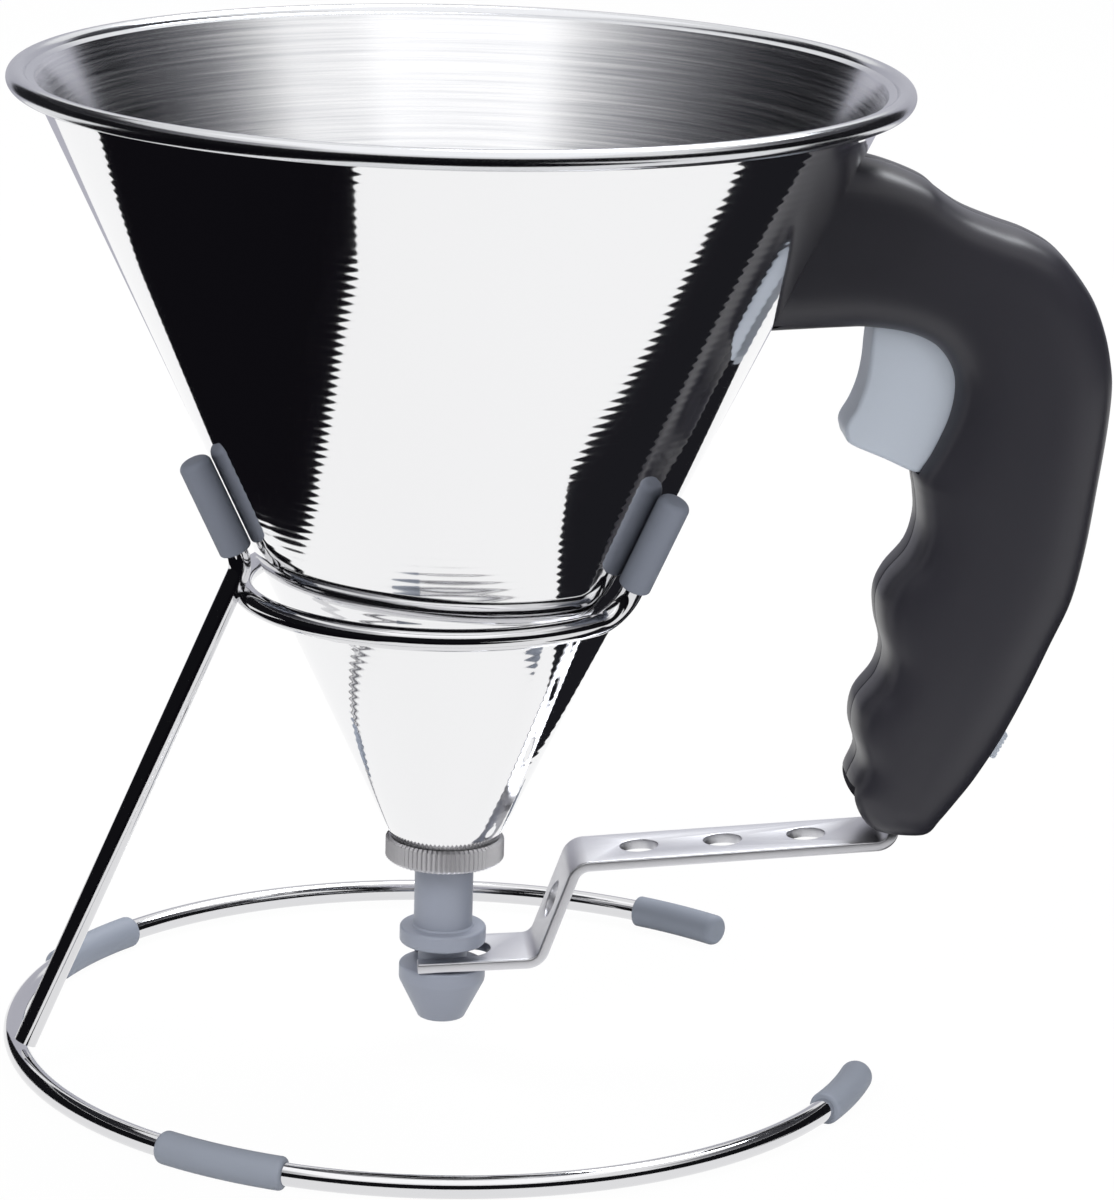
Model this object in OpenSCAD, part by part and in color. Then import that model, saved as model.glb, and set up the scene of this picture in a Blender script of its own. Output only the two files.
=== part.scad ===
// Hand-held piston funnel on its wire stand.
// The funnel hangs in a three-prong cradle. A trigger in the grip lifts a bent
// strip, and its fork lifts the hollow piston that opens the outlet.

/* [Funnel] */
// Outside radius of the cone at the height of its rim bead
mouth_r = 71.2; // [68:0.1:74]
// Outside radius of the cone at its lower end
outlet_r = 9.4; // [9.3:0.1:9.8]
// Height of the cone from its lower end to the middle of the rim bead
cone_h = 130.4; // [124:0.1:136]
// Thickness of the steel sheet
sheet_t = 0.9; // [0.7:0.1:1]
// Radius of the rolled rim bead
bead_r = 1.7; // [1.4:0.1:2]

/* [Outlet] */
// Height of the collar nut's lower face over the table
outlet_z = 33.6; // [32:0.1:36]
// Outside radius of the knurled collar nut
collar_r = 10.2; // [10:0.1:11]
// Height of the collar nut
collar_h = 4.1; // [3.8:0.1:4.6]
// Number of knurls on the collar nut
knurls = 72; // [60:1:84]
// Outside radius of the piston's tube
tube_r = 5.05; // [4.8:0.05:5.2]
// Radius of the passage through the piston
passage_r = 3.1; // [2.6:0.1:3.3]
// Radius of the piston's flange and nose
flange_r = 7.45; // [7.2:0.05:7.8]
// Thickness of the piston's flange
flange_t = 3; // [2.5:0.1:3.4]
// Height of the piston's nose under the fork
nose_h = 9.6; // [9:0.1:10]
// Radius of the opening end of the nose
tip_r = 4.2; // [4:0.1:5]

/* [Stand] */
// Radius of the base ring at the middle of its wire
base_r = 73.6; // [70:0.1:78]
// Radius of the steel wire
wire_r = 1.9; // [1.7:0.1:2]
// Outside radius of the rubber sleeves
sleeve_r = 2.8; // [2.5:0.1:3.1]
// Turn of the stand about the funnel's axis, in degrees
stand_turn = 12; // [0:1:20]
// Half of the base ring's opening between its wire ends, in degrees
mouth_half = 33; // [28:1:38]
// Place of the base sleeves from the leg, in degrees
sleeve_at = 46; // [40:1:52]
// Length of the base sleeves
sleeve_l = 23; // [18:1:28]
// Length of the rubber caps on the ends of the base ring
cap_l = 18; // [15:1:21]
// Height of the cradle ring's wire over the table
cradle_z = 82; // [80:0.5:84]
// Radius of the cradle ring at the middle of its wire
cradle_r = 34; // [33.7:0.1:34.1]
// Place of the two front prongs from the opening's middle, in degrees
prong_at = 49.5; // [46:0.5:54]
// Length of the sleeves on the prongs
prong_sleeve_l = 17.6; // [16:0.2:19]

/* [Handle] */
// Depth of the handle from its nose to its back
handle_d = 60; // [58:0.5:62]
// Height of the handle
handle_h = 118; // [117.5:0.1:118.5]
// Width of the handle
handle_w = 22.8; // [22:0.2:25]
// Wall of the handle's shells
shell_t = 2.7; // [2.4:0.1:2.9]
// Width of the trigger
trigger_w = 10.2; // [10:0.2:11]
// Swing of the trigger, in degrees
trigger_swing = 26; // [22:1:27]

/* [Lever] */
// Thickness of the steel strip
strip_t = 1.8; // [1.6:0.1:2]
// Width of the strip
strip_w = 14.6; // [14:0.1:15.2]
// Radius of the holes in the strip
hole_r = 3.3; // [3:0.1:3.6]
// Distance between the holes
hole_pitch = 14.5; // [14:0.1:15]
// Slope of the fork, in degrees
fork_slope = 3; // [2:0.25:4]
// Slope of the strip's long stretch, in degrees
strip_slope = 4.35; // [3.5:0.05:5]

/* [Hidden] */
$fn = 64;

// One overrun serves all cuts
over = 1;
// Clearance between pieces that move on each other
run_gap = 0.06;
// Clearance between pieces that only sit side by side
fit_gap = 0.05;
// Clearance between free pieces
free_gap = 0.3;

// Colours
steel = [0.80, 0.81, 0.83];
brushed = [0.74, 0.75, 0.77];
dark_steel = [0.45, 0.46, 0.48];
rubber = [0.46, 0.49, 0.54];
grey_plastic = [0.50, 0.53, 0.58];
light_plastic = [0.66, 0.69, 0.74];
anthracite = [0.16, 0.16, 0.18];
seal_white = [0.86, 0.86, 0.84];

// Heights of the funnel
cone_z = outlet_z + collar_h + 0.1;
rim_z = cone_z + cone_h;
cone_slope = (mouth_r - outlet_r) / cone_h;
cone_lean = atan(cone_slope);
wall_x = sheet_t / cos(cone_lean);
bead_x = mouth_r + bead_r + 0.3;
function cone_x(z) = outlet_r + (z - cone_z) * cone_slope;

// Outlet, from the collar down and up
lip_t = 1.2;
seal_t = 0.8;
thread_r = 8.2;
bush_r = 6.35;
spout_h = 4.6;
bush_h = 9.8;
bush_lip_r = 7.4;
bush_lip_h = 1.6;
spout_z = outlet_z + lip_t + seal_t + fit_gap;
bush_bore_r = tube_r + run_gap;
flange_gap = 12.2;
flange_z = outlet_z - flange_gap - flange_t;
groove_h = 3.9;
core_r = 4.2;
shoulder_z = flange_z - groove_h;
nose_rim_h = 2.6;
tip_z = shoulder_z - nose_h;
port_r = 2;
port_z = outlet_z + 7;
ring_r = 0.6;
ring_z = spout_z + bush_h - 2 * ring_r;
piston_top = ring_z + 2.8;
head_t = 1.4;
chamfer = 0.5;

// Stand
foot_flat = 0.2;
base_z = sleeve_r - foot_flat;
snug = 0.02;
weld_depth = 0.9;
wire_step = 0.02;
wire_in = 0.3;
cradle_shift = 1.5;
seat_gap = 0.12;
prong_bend_r = 6;
leg_bend_r = 5;
leg_bend_rise = 5.5;
front_sleeve_at = 6.6;
leg_sleeve_at = 2.6;
sleeve_end_wall = 1.6;
sleeve_round = 1.1;
leg_foot = [-(base_r - 0.6), 0, base_z + 2 * wire_r - weld_depth];
function prong_x(z) = cone_x(z) + (sleeve_r + seat_gap) / cos(cone_lean);
function around(r, a, z) = [r * cos(a), r * sin(a), z];
leg_bend_z = cradle_z + leg_bend_rise;
leg_bend = [-prong_x(leg_bend_z), 0, leg_bend_z];

// Motion
swing_arm = 20.5;
stroke = 2 * swing_arm * sin(trigger_swing / 2);

// Handle, its frame follows the rim and the cone
rim_drop = 10.6;
handle_z = rim_z - rim_drop - handle_h;
nose_bite = 1.6;
nose_z = handle_z + 0.75 * handle_h;
handle_x = cone_x(nose_z) - nose_bite;
cave_hw = handle_w / 2 - shell_t;
edge_round = 0.34;
handle_outline_shares = [[-0.075, 0.742], [0.1, 0.748], [0.225, 0.752], [0.3, 0.753], [0.408, 0.746],
    [0.488, 0.729], [0.533, 0.701], [0.548, 0.669], [0.535, 0.625], [0.495, 0.576], [0.457, 0.541],
    [0.46, 0.52], [0.467, 0.501], [0.472, 0.464], [0.45, 0.422], [0.392, 0.385], [0.367, 0.353],
    [0.372, 0.314], [0.392, 0.272], [0.375, 0.234], [0.323, 0.197], [0.312, 0.158], [0.333, 0.115],
    [0.307, 0.077], [0.312, 0.05], [0.343, 0.022], [0.388, 0.006], [0.47, 0], [0.535, 0.003],
    [0.573, 0.025], [0.618, 0.054], [0.672, 0.091], [0.738, 0.147], [0.803, 0.215], [0.867, 0.291],
    [0.92, 0.356], [0.952, 0.435], [0.973, 0.517], [0.993, 0.603], [1, 0.669], [0.99, 0.711],
    [0.97, 0.751], [0.935, 0.794], [0.882, 0.833], [0.825, 0.864], [0.747, 0.886], [0.66, 0.901],
    [0.565, 0.92], [0.495, 0.943], [0.447, 0.962], [0.355, 0.981], [0.267, 0.992], [0.125, 1]];
handle_spine_shares = [[0.075, 0.876], [0.325, 0.872], [0.542, 0.838], [0.708, 0.766], [0.767, 0.664],
    [0.733, 0.546], [0.675, 0.427], [0.6, 0.292], [0.5, 0.156], [0.45, 0.067]];
function in_handle(s) = [handle_x + s.x * handle_d, handle_z + s.y * handle_h];
handle_outline = [for (s = handle_outline_shares) in_handle(s)];
handle_spine = [for (s = handle_spine_shares) in_handle(s)];

// Trigger, seen from its pin
pivot = in_handle([0.425, 0.766]);
trigger_l = 26.5;
pin_r = 1.5;
boss_r = 4.2;
eye_r = 3;
trigger_shares = [[-0.242, -0.068], [-0.26, -0.189], [-0.268, -0.321], [-0.291, -0.453],
    [-0.336, -0.581], [-0.396, -0.694], [-0.392, -0.77], [-0.351, -0.826], [-0.143, -0.913],
    [0.06, -1], [0.128, -0.966], [0.211, -0.845], [0.294, -0.634], [0.325, -0.43],
    [0.294, -0.234], [0.208, -0.057]];
trigger_mouth_shares = [-0.27, 0.58];
prong_gap = 2.3;
prong_out = 4.9;
link_pin_at = [pivot.x + swing_arm * cos(trigger_swing / 2), pivot.y - swing_arm * sin(trigger_swing / 2)];
slot_play = 0.7;

// Lever and pull bar
fork_rise = 0.45;
fork_z = shoulder_z + strip_t / 2 + fork_rise;
fork_reach = 4.6;
fork_bend_x = 16.3;
slot_hw = core_r + 0.15;
slot_end_x = 8.3;
riser_h = 17.3;
riser_lean = 19.5;
riser_hole_at = 9.6;
first_hole_at = 11.2;
bend_r = 3.2;
bar_from_pivot = 5;
bar_x = pivot.x + bar_from_pivot;
bar_w = 4;
bar_foot_w = 9;
tab_w = 10;
joggle_x = 3.35;
foot_x = bar_x - joggle_x;
tab_x = foot_x - strip_t;
fork_bend = [fork_bend_x, fork_z + fork_bend_x * tan(fork_slope)];
riser_top = fork_bend + [riser_h * tan(riser_lean), riser_h];
strip_end = [tab_x + strip_t / 2, riser_top.y + (tab_x + strip_t / 2 - riser_top.x) * tan(strip_slope)];
tab_h = 14.2;
tab_top = strip_end.y + tab_h;
foot_rise = 5.3;
foot_bottom = strip_end.y + foot_rise;
joggle_drop = 1;
joggle_z = tab_top - joggle_drop;
joggle_h = 5;
spring_z = joggle_z + joggle_h;
first_rivet_up = 2;
rivet_pitch = 4;
rivet_zs = [foot_bottom + first_rivet_up, foot_bottom + first_rivet_up + rivet_pitch];
rivet_r = 1.5;
rivet_head_r = 2.4;
rivet_head_t = 0.8;
washer_t = 1;
washer_r = 4.1;
foot_cut_front = 10.3;
foot_cut_top = strip_end.y + stroke + strip_t + 2 * over;

// Guides and spring
spring_wire = 0.9;
spring_r = 3.3;
spring_turns = 5.5;
spring_l = 14.8;
lower_guide_z = spring_z + washer_t + spring_l;
guide_h = 4;
guide_slot_gap = 0.1;
upper_guide_drop = 13.4;
upper_guide_z = link_pin_at.y - upper_guide_drop;
slope_room = 2;
slope_z = lower_guide_z + guide_h + slope_room;
slope_h = upper_guide_z - stroke - slope_room + free_gap - slope_z;

// Fasteners
screw_r = 1.4;
screw_clear_r = 1.6;
screw_head_r = 2.7;
screw_head_h = 2;
screw_sink = 0.9;
post_r = 3.2;
handle_screw_shares = [[0.88, 0.741], [0.833, 0.41], [0.567, 0.09]];
bracket_screw_shares = [[0.235, 0.86], [0.31, 0.91]];
bracket_t = 1.4;
ear_in = 4.2;
ear_shares = [[0, 0.825], [0.385, 0.825], [0.4, 0.85], [0.4, 0.905], [0.36, 0.94], [0, 0.95]];
nose_cut_shares = [[-0.1, 0.81], [0.06, 0.81], [0.17, 0.955], [-0.1, 0.955]];

// Flow cursor on the handle's back
cursor_share = [0.733, 0.143];
cursor_dir = [0.455, 0.89];
cursor_wall_gap = 0.5;
cursor_l = 5;
cursor_w = 3.6;
cursor_h = 1.5;
cursor_travel = 8;
cursor_flange_t = 1.2;
cursor_flange_w = 8;

// The origin is the middle of the whole object's footprint
reach_x = handle_x + handle_d;
axis_x = -(reach_x - base_r - wire_r) / 2;

// Helpers
function unit(v) = v / norm(v);
function turned(v, a) = [v.x * cos(a) - v.y * sin(a), v.x * sin(a) + v.y * cos(a)];
function last(v) = v[len(v) - 1];
function corner(a, p, b, r, n) =
    let (u = unit(a - p), v = unit(b - p), half = acos(u * v) / 2, c = p + unit(u + v) * r / sin(half),
        w = p + u * r / tan(half) - c, side = sign(u.x * v.y - u.y * v.x))
    [for (i = [0:n]) c + turned(w, side * -1 * (180 - 2 * half) * i / n)];
function rounded_path(pts, r, n = 6) = [
    pts[0],
    for (i = [1:len(pts) - 2]) each corner(pts[i - 1], pts[i], pts[i + 1], r, n),
    last(pts)
];
function side_of(path, i) =
    let (d = unit(path[min(i + 1, len(path) - 1)] - path[max(i - 1, 0)])) [-d.y, d.x];
function thick(path, t) = [
    for (i = [0:len(path) - 1]) path[i] + side_of(path, i) * t / 2,
    for (i = [len(path) - 1:-1:0]) path[i] - side_of(path, i) * t / 2
];
function nearest_on(a, b, p) = a + (b - a) * max(0, min(1, (p - a) * (b - a) / ((b - a) * (b - a))));
function nearest(line, p) =
    let (q = [for (i = [0:len(line) - 2]) nearest_on(line[i], line[i + 1], p)],
        d = [for (v = q) norm(v - p)], k = [for (i = [0:len(d) - 1]) if (d[i] == min(d)) i][0]) q[k];

// Everything about the funnel's axis stands where the origin wants it
module at_axis() { translate([axis_x, 0, 0]) children(); }
module stand_place() { at_axis() rotate([0, 0, stand_turn]) children(); }
// A drawing in X and Z, w thick about the middle plane
module upright(w) { rotate([90, 0, 0]) translate([0, 0, -w / 2]) linear_extrude(w) children(); }
// A rod along Y
module across(p, r, y0, y1) { translate([p.x, y0, p.y]) rotate([-90, 0, 0]) cylinder(r = r, h = y1 - y0); }
module toward(a, b) {
    d = b - a;
    translate(a) rotate([0, acos(d.z / norm(d)), atan2(d.y, d.x)]) children();
}
// A straight of round wire, which runs a little into the bend at either end
module straight(a, b, r, in_a = 0, in_b = 0) {
    toward(a - unit(b - a) * in_a, b) cylinder(r = r, h = norm(b - a) + in_a + in_b);
}
// A round wire's bend of radius bend between two straights that would meet at p
module elbow(a, p, b, bend, r) {
    u = unit(a - p);
    v = unit(b - p);
    half = acos(u * v) / 2;
    c = p + unit(u + v) * bend / sin(half);
    e1 = unit(p + u * bend / tan(half) - c);
    e3 = unit(cross(e1, p + v * bend / tan(half) - c));
    e2 = cross(e3, e1);
    multmatrix([[e1.x, e2.x, e3.x, c.x], [e1.y, e2.y, e3.y, c.y], [e1.z, e2.z, e3.z, c.z], [0, 0, 0, 1]])
        rotate_extrude(angle = 180 - 2 * half) translate([bend, 0]) circle(r + wire_step);
}
function before_bend(a, p, b, bend) =
    let (u = unit(a - p), half = acos(u * unit(b - p)) / 2) p + u * bend / tan(half);
module ring_part(r, a0, a1, tube) {
    rotate([0, 0, a0]) rotate_extrude(angle = a1 - a0) translate([r, 0]) circle(tube);
}

// Base ring of the stand, open towards the handle
module base_ring() color(steel) stand_place() translate([0, 0, base_z])
    ring_part(base_r, mouth_half, 360 - mouth_half, wire_r);

// Leg, welded on the base ring, whose bent top is the rear prong
leg_top = [-prong_x(leg_bend_z) - (leg_sleeve_at + prong_sleeve_l - sleeve_end_wall) * sin(cone_lean), 0,
    leg_bend_z + (leg_sleeve_at + prong_sleeve_l - sleeve_end_wall) * cos(cone_lean)];
module support_leg() color(steel) stand_place() {
    straight(leg_foot, before_bend(leg_foot, leg_bend, leg_top, leg_bend_r), wire_r, 0, wire_in);
    elbow(leg_foot, leg_bend, leg_top, leg_bend_r, wire_r);
    straight(before_bend(leg_top, leg_bend, leg_foot, leg_bend_r), leg_top, wire_r, wire_in, 0);
}

// Cradle ring, one wire whose two ends turn up along the cone
prong_foot = around(prong_x(cradle_z), prong_at, cradle_z);
prong_way = [sin(cone_lean) * cos(prong_at), sin(cone_lean) * sin(prong_at), cos(cone_lean)];
prong_top = prong_foot + prong_way * (front_sleeve_at + prong_sleeve_l - sleeve_end_wall);
prong_from_centre = norm([prong_foot.x + cradle_shift, prong_foot.y]);
tangent_at = atan2(prong_foot.y, prong_foot.x + cradle_shift) + acos(cradle_r / prong_from_centre);
tangent_point = [cradle_r * cos(tangent_at) - cradle_shift, cradle_r * sin(tangent_at), cradle_z];
module cradle_prong() {
    straight(tangent_point, before_bend(tangent_point, prong_foot, prong_top, prong_bend_r), wire_r, wire_in, wire_in);
    elbow(tangent_point, prong_foot, prong_top, prong_bend_r, wire_r);
    straight(before_bend(prong_top, prong_foot, tangent_point, prong_bend_r), prong_top, wire_r, wire_in, 0);
}
module cradle_ring() color(steel) stand_place() {
    translate([-cradle_shift, 0, cradle_z]) ring_part(cradle_r, tangent_at, 360 - tangent_at, wire_r + wire_step);
    cradle_prong();
    mirror([0, 1, 0]) cradle_prong();
}

// Rubber sleeves on the base ring, flat where they stand
module ring_sleeve(a0, a1) {
    difference() {
        translate([0, 0, base_z]) ring_part(base_r, a0, a1, sleeve_r);
        translate([0, 0, base_z]) ring_part(base_r, a0 - over, a1 + over, wire_r + snug);
        translate([-2 * base_r, -2 * base_r, -sleeve_r]) cube([4 * base_r, 4 * base_r, sleeve_r]);
    }
}
function arc_deg(l) = l / base_r * 180 / PI;
module base_sleeves() color(rubber) stand_place() for (s = [-1, 1]) {
    middle = 180 + s * sleeve_at;
    ring_sleeve(middle - arc_deg(sleeve_l) / 2, middle + arc_deg(sleeve_l) / 2);
}

// Rubber caps on the ring's two ends
cap_end = [[0, -wire_in], [sleeve_r - wire_step, -wire_in],
    for (i = [0:8]) [(sleeve_r - wire_step) * cos(i * 11.25), sleeve_r * sin(i * 11.25)]];
module end_cap() {
    a0 = mouth_half - arc_deg(snug);
    difference() {
        union() {
            translate([0, 0, base_z]) ring_part(base_r, a0, a0 + arc_deg(cap_l - sleeve_r), sleeve_r);
            translate(around(base_r, a0, base_z)) rotate([90, 0, a0]) rotate_extrude() polygon(cap_end);
        }
        translate([0, 0, base_z]) ring_part(base_r, a0, a0 + arc_deg(cap_l), wire_r + snug);
        translate([-2 * base_r, -2 * base_r, -sleeve_r]) cube([4 * base_r, 4 * base_r, sleeve_r]);
    }
}
module end_caps() color(rubber) stand_place() {
    end_cap();
    mirror([0, 1, 0]) end_cap();
}

// Rubber sleeves on the three prongs
sleeve_profile = [
    [0, sleeve_round / 4], [wire_r + snug, 0],
    for (i = [0:4]) [sleeve_r - sleeve_round / 2 * (1 - sin(i * 22.5)), sleeve_round / 2 * (1 - cos(i * 22.5))],
    for (i = [0:6]) [sleeve_r - sleeve_round * (1 - cos(i * 15)),
        prong_sleeve_l - sleeve_round * (1 - sin(i * 15))],
    [0, prong_sleeve_l]
];
module prong_sleeve() {
    difference() {
        rotate_extrude() polygon(sleeve_profile);
        translate([0, 0, -over])
            cylinder(r = wire_r + snug, h = prong_sleeve_l - sleeve_end_wall + over + snug);
    }
}
module cradle_sleeves() color(rubber) stand_place() {
    toward(leg_bend + unit(leg_top - leg_bend) * leg_sleeve_at, leg_top) prong_sleeve();
    for (s = [0, 1]) mirror([0, s, 0])
        toward(prong_foot + prong_way * front_sleeve_at, prong_top) prong_sleeve();
}

// Spun cone with its rolled rim
curl_z = rim_z + bead_r * 0.5;
module cone() color(steel) at_axis() {
    rotate_extrude($fn = 128) polygon([
        [outlet_r, cone_z], [mouth_r, rim_z], [bead_x, rim_z], [bead_x - bead_r * 0.2, rim_z + bead_r * 0.97],
        [bead_x - bead_r * 0.8, curl_z + bead_r * 0.35], [cone_x(curl_z) - wall_x, curl_z],
        [outlet_r - wall_x, cone_z]]);
    translate([0, 0, rim_z]) rotate_extrude($fn = 128) translate([bead_x, 0]) circle(bead_r);
}

// Threaded steel spout welded inside the cone's lower end
module spout() color(brushed) at_axis() rotate_extrude() polygon([
    [bush_r + fit_gap, spout_z], [thread_r, spout_z], [thread_r, cone_z],
    [cone_x(cone_z) - wall_x - fit_gap, cone_z],
    [cone_x(spout_z + spout_h) - wall_x - fit_gap, spout_z + spout_h],
    [bush_r + fit_gap, spout_z + spout_h]]);

// Plastic bush that seals the piston
module seal_sleeve() color(seal_white) at_axis() rotate_extrude() polygon([
    [bush_bore_r, spout_z], [bush_r, spout_z], [bush_r, spout_z + spout_h + fit_gap],
    [bush_lip_r, spout_z + spout_h + fit_gap], [bush_lip_r, spout_z + spout_h + bush_lip_h],
    [bush_lip_r - chamfer, spout_z + spout_h + bush_lip_h + chamfer],
    [bush_r, spout_z + spout_h + bush_lip_h + chamfer], [bush_r, spout_z + bush_h - chamfer],
    [bush_r - chamfer, spout_z + bush_h], [bush_bore_r, spout_z + bush_h]]);

// Knurled nut that holds the seat seal on the spout
knurl_depth = 0.3;
module collar_nut() color(dark_steel) at_axis() translate([0, 0, outlet_z]) difference() {
    linear_extrude(collar_h) polygon([for (i = [0:2 * knurls - 1])
        let (r = i % 2 == 0 ? collar_r : collar_r - knurl_depth, a = i * 180 / knurls) [r * cos(a), r * sin(a)]]);
    translate([0, 0, -over]) cylinder(r = tube_r + free_gap, h = collar_h + 2 * over);
    translate([0, 0, lip_t]) cylinder(r = thread_r + run_gap, h = collar_h);
}

// Flat rubber seal between the nut's lip and the spout
module seat_seal() color(anthracite) at_axis() translate([0, 0, outlet_z + lip_t]) difference() {
    cylinder(r = thread_r, h = seal_t);
    translate([0, 0, -over]) cylinder(r = tube_r + run_gap, h = seal_t + 2 * over);
}

// Hollow piston: nose, fork groove, flange, and a tube with ports
module piston() color(grey_plastic) at_axis() difference() {
    rotate_extrude() polygon([
        [passage_r, tip_z], [tip_r - chamfer, tip_z], [tip_r, tip_z + chamfer],
        [flange_r, shoulder_z - nose_rim_h], [flange_r, shoulder_z - chamfer],
        [flange_r - chamfer, shoulder_z], [core_r, shoulder_z], [core_r, flange_z],
        [flange_r - chamfer, flange_z], [flange_r, flange_z + chamfer],
        [flange_r, flange_z + flange_t - chamfer], [flange_r - chamfer, flange_z + flange_t],
        [tube_r, flange_z + flange_t], [tube_r, ring_z - ring_r - fit_gap],
        [tube_r + run_gap - 2 * ring_r, ring_z - ring_r - fit_gap],
        [tube_r + run_gap - 2 * ring_r, ring_z + ring_r + fit_gap],
        [tube_r, ring_z + ring_r + fit_gap], [tube_r, piston_top - chamfer],
        [tube_r - chamfer, piston_top], [0, piston_top], [0, piston_top - head_t],
        [passage_r, piston_top - head_t]]);
    for (a = [0, 90]) translate([0, 0, port_z]) rotate([90, 0, a])
        translate([0, 0, -flange_r]) cylinder(r = port_r, h = 2 * flange_r);
}

// Seal ring near the piston's head
module piston_o_ring() color(anthracite) at_axis() translate([0, 0, ring_z])
    rotate_extrude() translate([tube_r + run_gap - ring_r - snug, 0]) circle(ring_r);

// One bent steel strip: fork, riser, long stretch with holes, and a tab inside the grip
lever_path = rounded_path([[-fork_reach, fork_z - fork_reach * tan(fork_slope)], fork_bend, riser_top,
    strip_end, [strip_end.x, tab_top]], bend_r);
module strip_hole(p, lean) {
    translate([p.x, 0, p.y]) rotate([0, lean, 0]) translate([0, 0, -strip_w / 2])
        cylinder(r = hole_r, h = strip_w);
}
module lever() color(brushed) at_axis() difference() {
    upright(strip_w) polygon(thick(lever_path, strip_t));
    translate([-flange_r, -slot_hw, 0]) cube([flange_r + slot_end_x - slot_hw, 2 * slot_hw, outlet_z]);
    translate([slot_end_x - slot_hw, 0, 0]) cylinder(r = slot_hw, h = fork_bend.y + strip_t);
    strip_hole(fork_bend + unit(riser_top - fork_bend) * riser_hole_at, 90 - riser_lean - 180);
    for (i = [0:2])
        strip_hole(riser_top + unit(strip_end - riser_top) * (first_hole_at + i * hole_pitch), -strip_slope);
    for (s = [-1, 1]) translate([tab_x - bend_r, s * (tab_w + strip_w) / 2 - strip_w / 2, strip_end.y + bend_r])
        cube([2 * bend_r + strip_t, strip_w, tab_top]);
    for (z = rivet_zs) translate([tab_x - over, 0, z]) rotate([0, 90, 0]) cylinder(r = rivet_r, h = strip_t + 2 * over);
}

// Bent pull bar inside the grip, with a rolled eye for the link pin
bar_path = rounded_path([[foot_x + strip_t / 2, foot_bottom], [foot_x + strip_t / 2, joggle_z],
    [bar_x, joggle_z + joggle_h], [bar_x, slope_z], [link_pin_at.x, slope_z + slope_h], link_pin_at], bend_r);
module pull_bar() color(brushed) at_axis() difference() {
    union() {
        intersection() {
            upright(bar_foot_w) polygon(thick(bar_path, strip_t));
            union() {
                translate([foot_x - over, -bar_foot_w / 2, foot_bottom - over])
                    cube([bar_x - foot_x + strip_t + over, bar_foot_w, spring_z - foot_bottom + over]);
                translate([foot_x - over, -bar_w / 2, foot_bottom])
                    cube([link_pin_at.x - foot_x + 2 * strip_t, bar_w, link_pin_at.y]);
            }
        }
        across(link_pin_at, eye_r, -bar_w / 2, bar_w / 2);
    }
    across(link_pin_at, pin_r, -bar_w, bar_w);
    for (z = rivet_zs) translate([foot_x - over, 0, z]) rotate([0, 90, 0])
        cylinder(r = rivet_r, h = strip_t + 2 * over);
}

// Rivets that join the strip's tab and the pull bar
module bar_rivets() color(steel) at_axis() for (z = rivet_zs) translate([tab_x, 0, z]) rotate([0, 90, 0]) {
    translate([0, 0, -rivet_head_t]) cylinder(r = rivet_head_r, h = rivet_head_t);
    cylinder(r = rivet_r, h = 2 * strip_t);
    translate([0, 0, 2 * strip_t]) cylinder(r = rivet_head_r, h = rivet_head_t);
}

// Pin between the pull bar's eye and the trigger's slots
module link_pin() color(steel) at_axis() across(link_pin_at, pin_r, -prong_out, prong_out);

// Washer on the pull bar's shoulder, under the spring
module bar_opening(z0, z1, x, gap) {
    translate([x - strip_t / 2 - gap, -bar_w / 2 - gap, z0]) cube([strip_t + 2 * gap, bar_w + 2 * gap, z1 - z0]);
}
module spring_washer() color(steel) at_axis() difference() {
    translate([bar_x, 0, spring_z]) cylinder(r = washer_r, h = washer_t);
    bar_opening(spring_z - over, spring_z + washer_t + over, bar_x, guide_slot_gap);
}

// Return spring round the pull bar
function coil_point(t, h, z0) = [spring_r * cos(360 * spring_turns * t), spring_r * sin(360 * spring_turns * t), z0 + h * t];
module return_spring() color(steel) at_axis() translate([bar_x, 0, 0]) {
    rings = 12 * spring_turns;
    sides = 6;
    low = spring_z + washer_t + spring_wire / 2 + fit_gap;
    rise = lower_guide_z - spring_wire / 2 - fit_gap - low;
    points = [for (i = [0:rings]) let (t = i / rings, c = coil_point(t, rise, low), out = [cos(360 * spring_turns * t),
            sin(360 * spring_turns * t), 0])
        for (k = [0:sides - 1]) c + (out * cos(k * 360 / sides) + [0, 0, 1] * sin(k * 360 / sides)) * spring_wire / 2];
    walls = [for (i = [0:rings - 1], k = [0:sides - 1]) let (a = i * sides + k, b = i * sides + (k + 1) % sides)
        each [[a, a + sides, b], [b, a + sides, b + sides]]];
    polyhedron(points = points, faces = concat(walls, [[for (k = [0:sides - 1]) k],
        [for (k = [sides - 1:-1:0]) rings * sides + k]]), convexity = 10);
}

// Plastic guides that the pull bar slides in
module guide(z, x, half) difference() {
    translate([x - half, -cave_hw + fit_gap, z]) cube([2 * half, 2 * cave_hw - 2 * fit_gap, guide_h]);
    bar_opening(z - over, z + guide_h + over, x, guide_slot_gap);
}
module lower_guide() color(seal_white) at_axis() guide(lower_guide_z, bar_x, 3.6);
module upper_guide() color(seal_white) at_axis() guide(upper_guide_z, link_pin_at.x, 3.4);

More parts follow.
